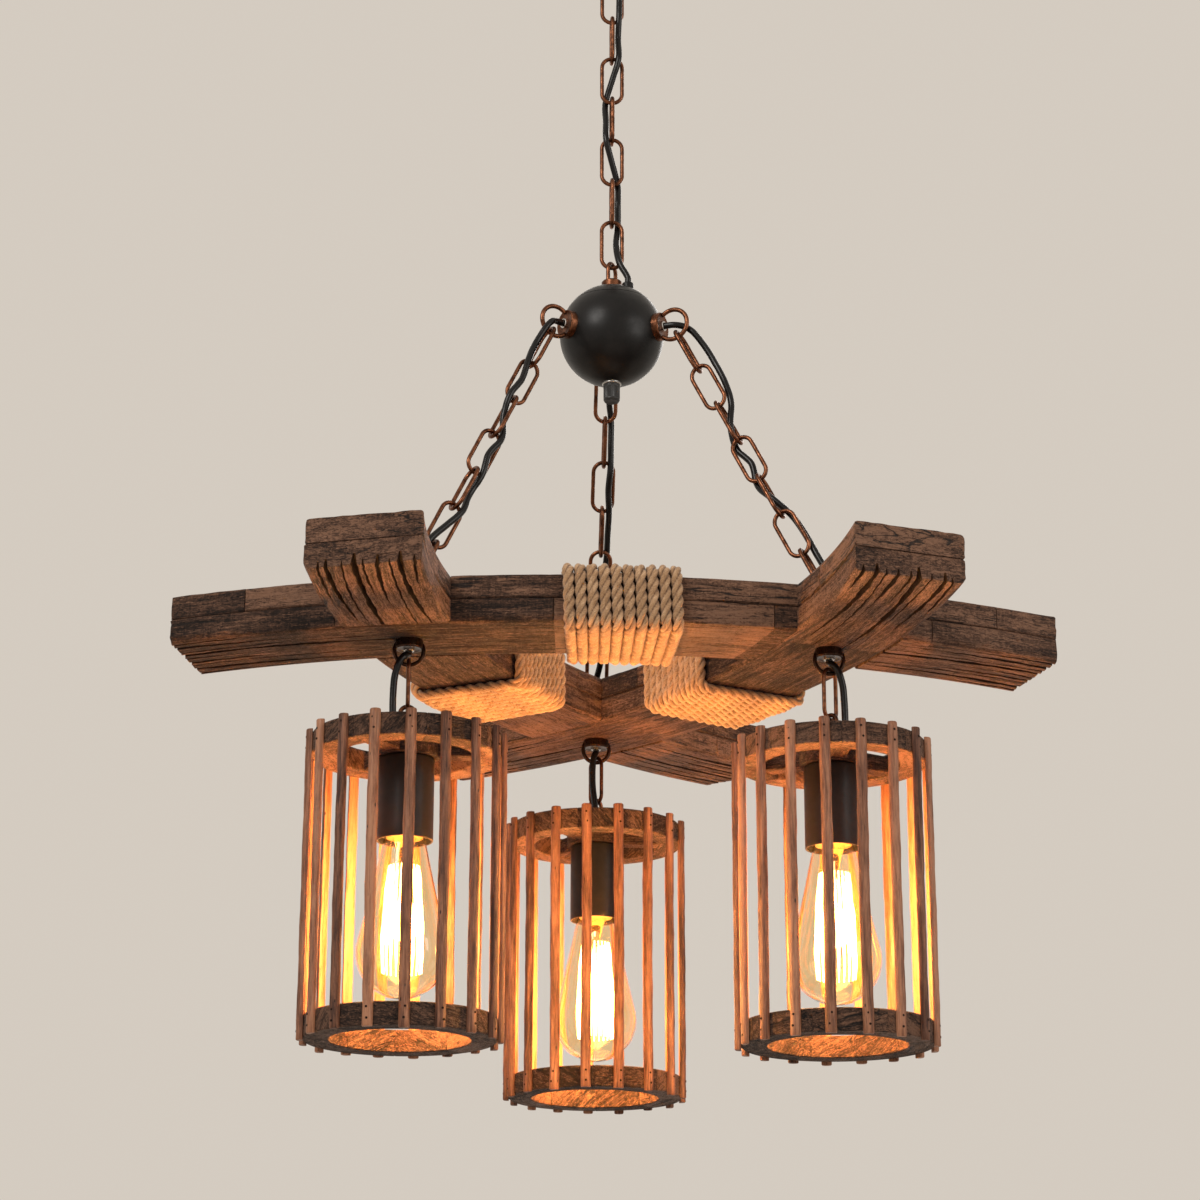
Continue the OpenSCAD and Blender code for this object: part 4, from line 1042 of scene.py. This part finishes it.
for n, (side, az) in enumerate(CORNERS.items()):
    o = corner(side)
    body = f"lantern_{side}"
    # upper ring, hub and spokes
    b = Build()
    ring_segments(b, o, WHEEL_UNDER, 12 + 31 * n, 11 + n)
    rows = lathe(disc_profile(23, WHEEL_UNDER, WHEEL_TOP, 0.8), 64, o)
    b.grid(rows, rows - o + np.array([300 + 90 * n, 0, 0]), 0.3)
    for i in range(3):
        bar(b, o, SPOKE_AZ[side] + i * 120, 21.0, 49.2, SPOKE_HALF, WHEEL_UNDER + 1, SPOKE_TOP, 0.7, 4 * n + i)
    b.make(f"wheel_{side}", ["ring_timber"], body, (f"top_wheel_{side}",), angle=35)

    b = Build()
    ring_segments(b, o, LANTERN_UNDER, 3 + 19 * n, 51 + n)
    b.make(f"lower_ring_{side}", ["ring_timber"], body, (f"bottom_ring_{side}",), angle=35)

    # half-round slats with their pins
    b = Build()
    local = np.random.RandomState(90 + n)
    flat = SLAT_T - SLAT_W / 2
    r = SLAT_W / 2
    half = [(flat + r * cos(t), r * sin(t)) for t in np.radians(np.linspace(-90, 90, 13))]
    half = np.array([(0.02, r - 0.5), (0.02, -r + 0.5), (0.35, -r)] + half + [(0.35, r)])
    for i in range(SLATS):
        a = SLAT_START[side] + i * 360 / SLATS
        z0 = LANTERN_UNDER - 1.5 + local.uniform(-0.8, 0.8)
        z1 = LANTERN_UNDER + SLAT_LEN + local.uniform(-0.8, 0.8)
        zs = np.concatenate([[z0, z0 + 0.7], np.linspace(z0, z1, 40)[1:-1], [z1 - 0.7, z1]])
        ph = local.uniform(0, 6.28, 4)
        tone = local.uniform(0.05, 0.95)
        rows, grain = [], []
        for z in zs:
            sx = 1 + 0.03 * sin(z * 0.11 + ph[0]) + 0.02 * sin(z * 0.37 + ph[1])
            sway = 0.25 * sin(z * 0.028 + ph[2]) + 0.1 * sin(z * 0.19 + ph[3])
            k = 0.9 if z in (zs[0], zs[-1]) else 1.0
            x = half[:, 0] * k * (sx if abs(z - z0) > 1 else 1)
            y = half[:, 1] * k * sx + sway
            x = x + local.normal(0, 0.035, len(x)) * (half[:, 0] > 0.3)
            rows.append(rot(xyz(x + RING_OUT, y, z), a) + o)
            grain.append(xyz(z + 500 * i + 60 * n, y, x + 40 * i))
        b.grid(rows, grain, tone)
        for zc in (LANTERN_UNDER + 4.2, LANTERN_UNDER + 11.8, WHEEL_UNDER + 4.2, WHEEL_UNDER + 11.8):
            y = local.uniform(-0.8, 0.8)
            h = flat + sqrt((SLAT_W / 2) ** 2 - y * y)
            r = 0.85
            t = np.linspace(0, 2 * pi, 10, endpoint=False)
            pin = [[(RING_OUT + h + dx, y + rp * cos(q), zc + rp * sin(q)) for q in t]
                   for dx, rp in ((-0.5, r), (0.12, r), (0.16, r * 0.6))]
            b.grid(rot(pin, a) + o, material=1)
    b.make(f"slat_cage_{side}", ["slat_timber", "split_dark"], body, (f"slats_{side}",), angle=40)

    # collar and loop on top
    b = Build()
    b.grid(lathe(disc_profile(7, WHEEL_TOP, WHEEL_TOP + 6, 0.8), 40, o))
    b.grid(place(staple_rows(5.3, 10.9, 3.2), HANGER_TURN[side], False, o + (0, 0, WHEEL_TOP + 6)))
    b.make(f"loop_{side}", ["antique_copper"], body, (f"top_loop_{side}",))

    # hanger link
    b = Build()
    add_link(b, o + (0, 0, HANGER_Z), 90 + HANGER_TURN[side], *HANGER)
    b.make(f"hanger_{side}_link", ["antique_copper"], f"hanger_{side}", (f"hanger_link_{side}",))

    # lamp socket: cover with a rolled lip, and the holder inside it
    b = Build()
    s0, s1 = WHEEL_UNDER - SOCKET_LEN, WHEEL_UNDER
    prof = [(18.5, s0 + 0.5)] + arc(19.25, s0 + 0.75, 0.75, 180, 360, 8)
    prof += [(20, s0 + 8), (20, s0 + 25), (20, s0 + 45), (20, s1 - 2)] + arc(18.5, s1 - 1.5, 1.5, 0, 90, 5)
    prof += [(10, s1), (0.02, s1), (0.02, s1 - 1.5), (10, s1 - 1.5), (18.5, s1 - 1.6), (18.5, s0 + 30)]
    lathe_hollow(b, prof, 96, o)
    prof = [(18.0, 6), (17.6, 4.4), (16.8, 4), (14.4, 4), (13.6, 4.8), (13.5, 8), (13.5, 27), (13.4, 31), (0.02, 31), (0.02, 58),
            (18.0, 58)]
    lathe_hollow(b, raised(prof, s0), 64, o)
    b.make(f"lamp_socket_{side}", ["socket_black"], body, (f"socket_{side}",), angle=30)

    # bulb: envelope, cap, stem and a cage of filament
    rise = GLASS_TOP - GLOBE_Z
    touch = degrees(atan(NECK_R / rise)) + degrees(acos(GLOBE_R / hypot(NECK_R, rise)))
    outer = [(0.02, GLOBE_Z - GLOBE_R)] + arc(0, GLOBE_Z, GLOBE_R, -88, 90 - touch, 40)
    tx, tz = outer[-1]
    for s in np.linspace(0, 1, 12)[1:]:
        bow = 1.1 * sin(pi * s)
        outer.append((tx + (NECK_R - tx) * s - bow * 0.35, tz + (GLASS_TOP - tz) * s))
    outer += [(13.4, GLASS_TOP + 2.0)]
    inner = [(max(r - 0.8, 0.02), z + (0.8 if z < GLOBE_Z else 0.0)) for r, z in outer[::-1]]
    b = Build()
    lathe_hollow(b, outer + inner, 96, o)
    glass = b.make(f"bulb_glass_{side}", ["bulb_glass"], f"bulb_{side}", (f"bulb_{side}",), angle=80)

    b = Build()
    prof = [(13.0, GLASS_TOP + 0.2), (13.0, GLASS_TOP + 2)]
    prof += [(12.4 + 0.55 * cos(i * 2 * pi / 6), GLASS_TOP + 2.5 + i * 0.62) for i in range(28)]
    prof += raised([(12.2, -6.5), (7.5, -2.6), (4.8, -1.2), (4.6, 0), (0.02, 0)], BULB_TOP)
    lathe_hollow(b, prof + [(0.02, GLASS_TOP + 0.2)], 48, o)
    b.make(f"bulb_cap_{side}", ["cap_brass"], f"bulb_{side}", (), "bulb_glass", 30)

    b = Build()
    stem = [(0.02, -46), (1.6, -45.5), (2.2, -43), (1.7, -40), (2.1, -30), (3.2, -18), (5.5, -8), (8.5, 0.5), (0.02, 0.5)]
    b.grid(lathe(raised(stem, GLASS_TOP), 32, o))
    stem_ob = b.make(f"bulb_stem_{side}", ["bulb_glass"], f"bulb_{side}", (), angle=60)

    b = Build()
    strands = 22
    zt, zb = GLASS_TOP - 20, GLOBE_Z - 14
    for i in range(strands):
        a0, a1 = 2 * pi * i / strands, 2 * pi * (i + 0.5) / strands
        # one strand down the outside of the cage, and one back up to the next
        for down in (True, False):
            pts = []
            for s in np.linspace(0, 1, 16) if down else np.linspace(1, 0, 16):
                r = 10.5 + 5.0 * sin(pi * min(1.0, s * 0.62 + 0.18)) * s ** 0.6
                if down:
                    r += 0.5 * sin(s * 14 + i)
                q = a0 + (a1 - a0) * s if down else a1 + (a1 - a0) * (1 - s)
                pts.append((r * cos(q), r * sin(q), zt + (zb - zt) * s))
            b.grid(tube(np.array(pts), 0.5, 6) + o)
    fil = b.make(f"bulb_filament_{side}", ["filament"], f"bulb_{side}", (), "bulb_glass", 60)
    for part in (glass, stem_ob, fil):
        part.visible_shadow = False

    lamp = bpy.data.lights.new(f"glow_{side}", "POINT")
    lamp.energy = 2.2
    lamp.color = (1.0, 0.31, 0.06)
    lamp.shadow_soft_size = 0.016
    glow = bpy.data.objects.new(f"glow_{side}", lamp)
    glow.location = tuple((o + (0, 0, GLOW_Z)) * MM)
    scene.collection.objects.link(glow)
    glow.parent = frame["bodies"][f"bulb_{side}"]
    glow.visible_camera = False

# ---------------------------------------------------------------- carried-over nodes
for name in ("ceiling_bracket", "canopy_rod", "canopy_nut", "ball_rod"):
    ob = nodes[name]
    ob.data.materials.clear()
    ob.data.materials.append(M["bright_steel"])

# ---------------------------------------------------------------- stage and light
world = bpy.data.worlds.new("studio")
scene.world = world
world.use_nodes = True
scene.view_settings.view_transform = "Standard"
bg = world.node_tree.nodes["Background"]
bg.inputs[0].default_value = (0.66, 0.600, 0.530, 1)
bg.inputs[1].default_value = 1.0


def floor():
    n = Nodes("pale_floor", Metallic=0.0)
    c = n.noise(n.obj(), 3.0, 4.0)
    me = bpy.data.meshes.new("floor")
    s, z = 4.0, -2.35
    me.from_pydata([(-s, -s, z), (s, -s, z), (s, s, z), (-s, s, z)], [], [(0, 1, 2, 3)])
    me.materials.append(n.surface(c, [(0.3, (0.60, 0.56, 0.51)), (0.7, (0.66, 0.62, 0.57))], [(0.3, 0.8), (0.7, 0.7)]))
    ob = bpy.data.objects.new("floor", me)
    scene.collection.objects.link(ob)


floor()


def area(name, where, target, size, energy, color):
    data = bpy.data.lights.new(name, "AREA")
    data.shape = "RECTANGLE"
    data.size, data.size_y = size
    data.energy = energy
    data.color = color
    ob = bpy.data.objects.new(name, data)
    ob.location = where
    ob.rotation_euler = (Vector(target) - Vector(where)).to_track_quat("-Z", "Y").to_euler()
    scene.collection.objects.link(ob)


AIM = (0, 0, -0.72)
area("key", (-1.6, -2.0, 0.7), AIM, (1.2, 1.2), 38, (1.0, 0.97, 0.93))
area("fill", (2.0, -1.6, -0.2), AIM, (1.4, 1.4), 18, (1.0, 0.96, 0.92))
area("back", (0.6, 2.2, 0.6), AIM, (1.6, 1.0), 16, (1.0, 0.97, 0.94))
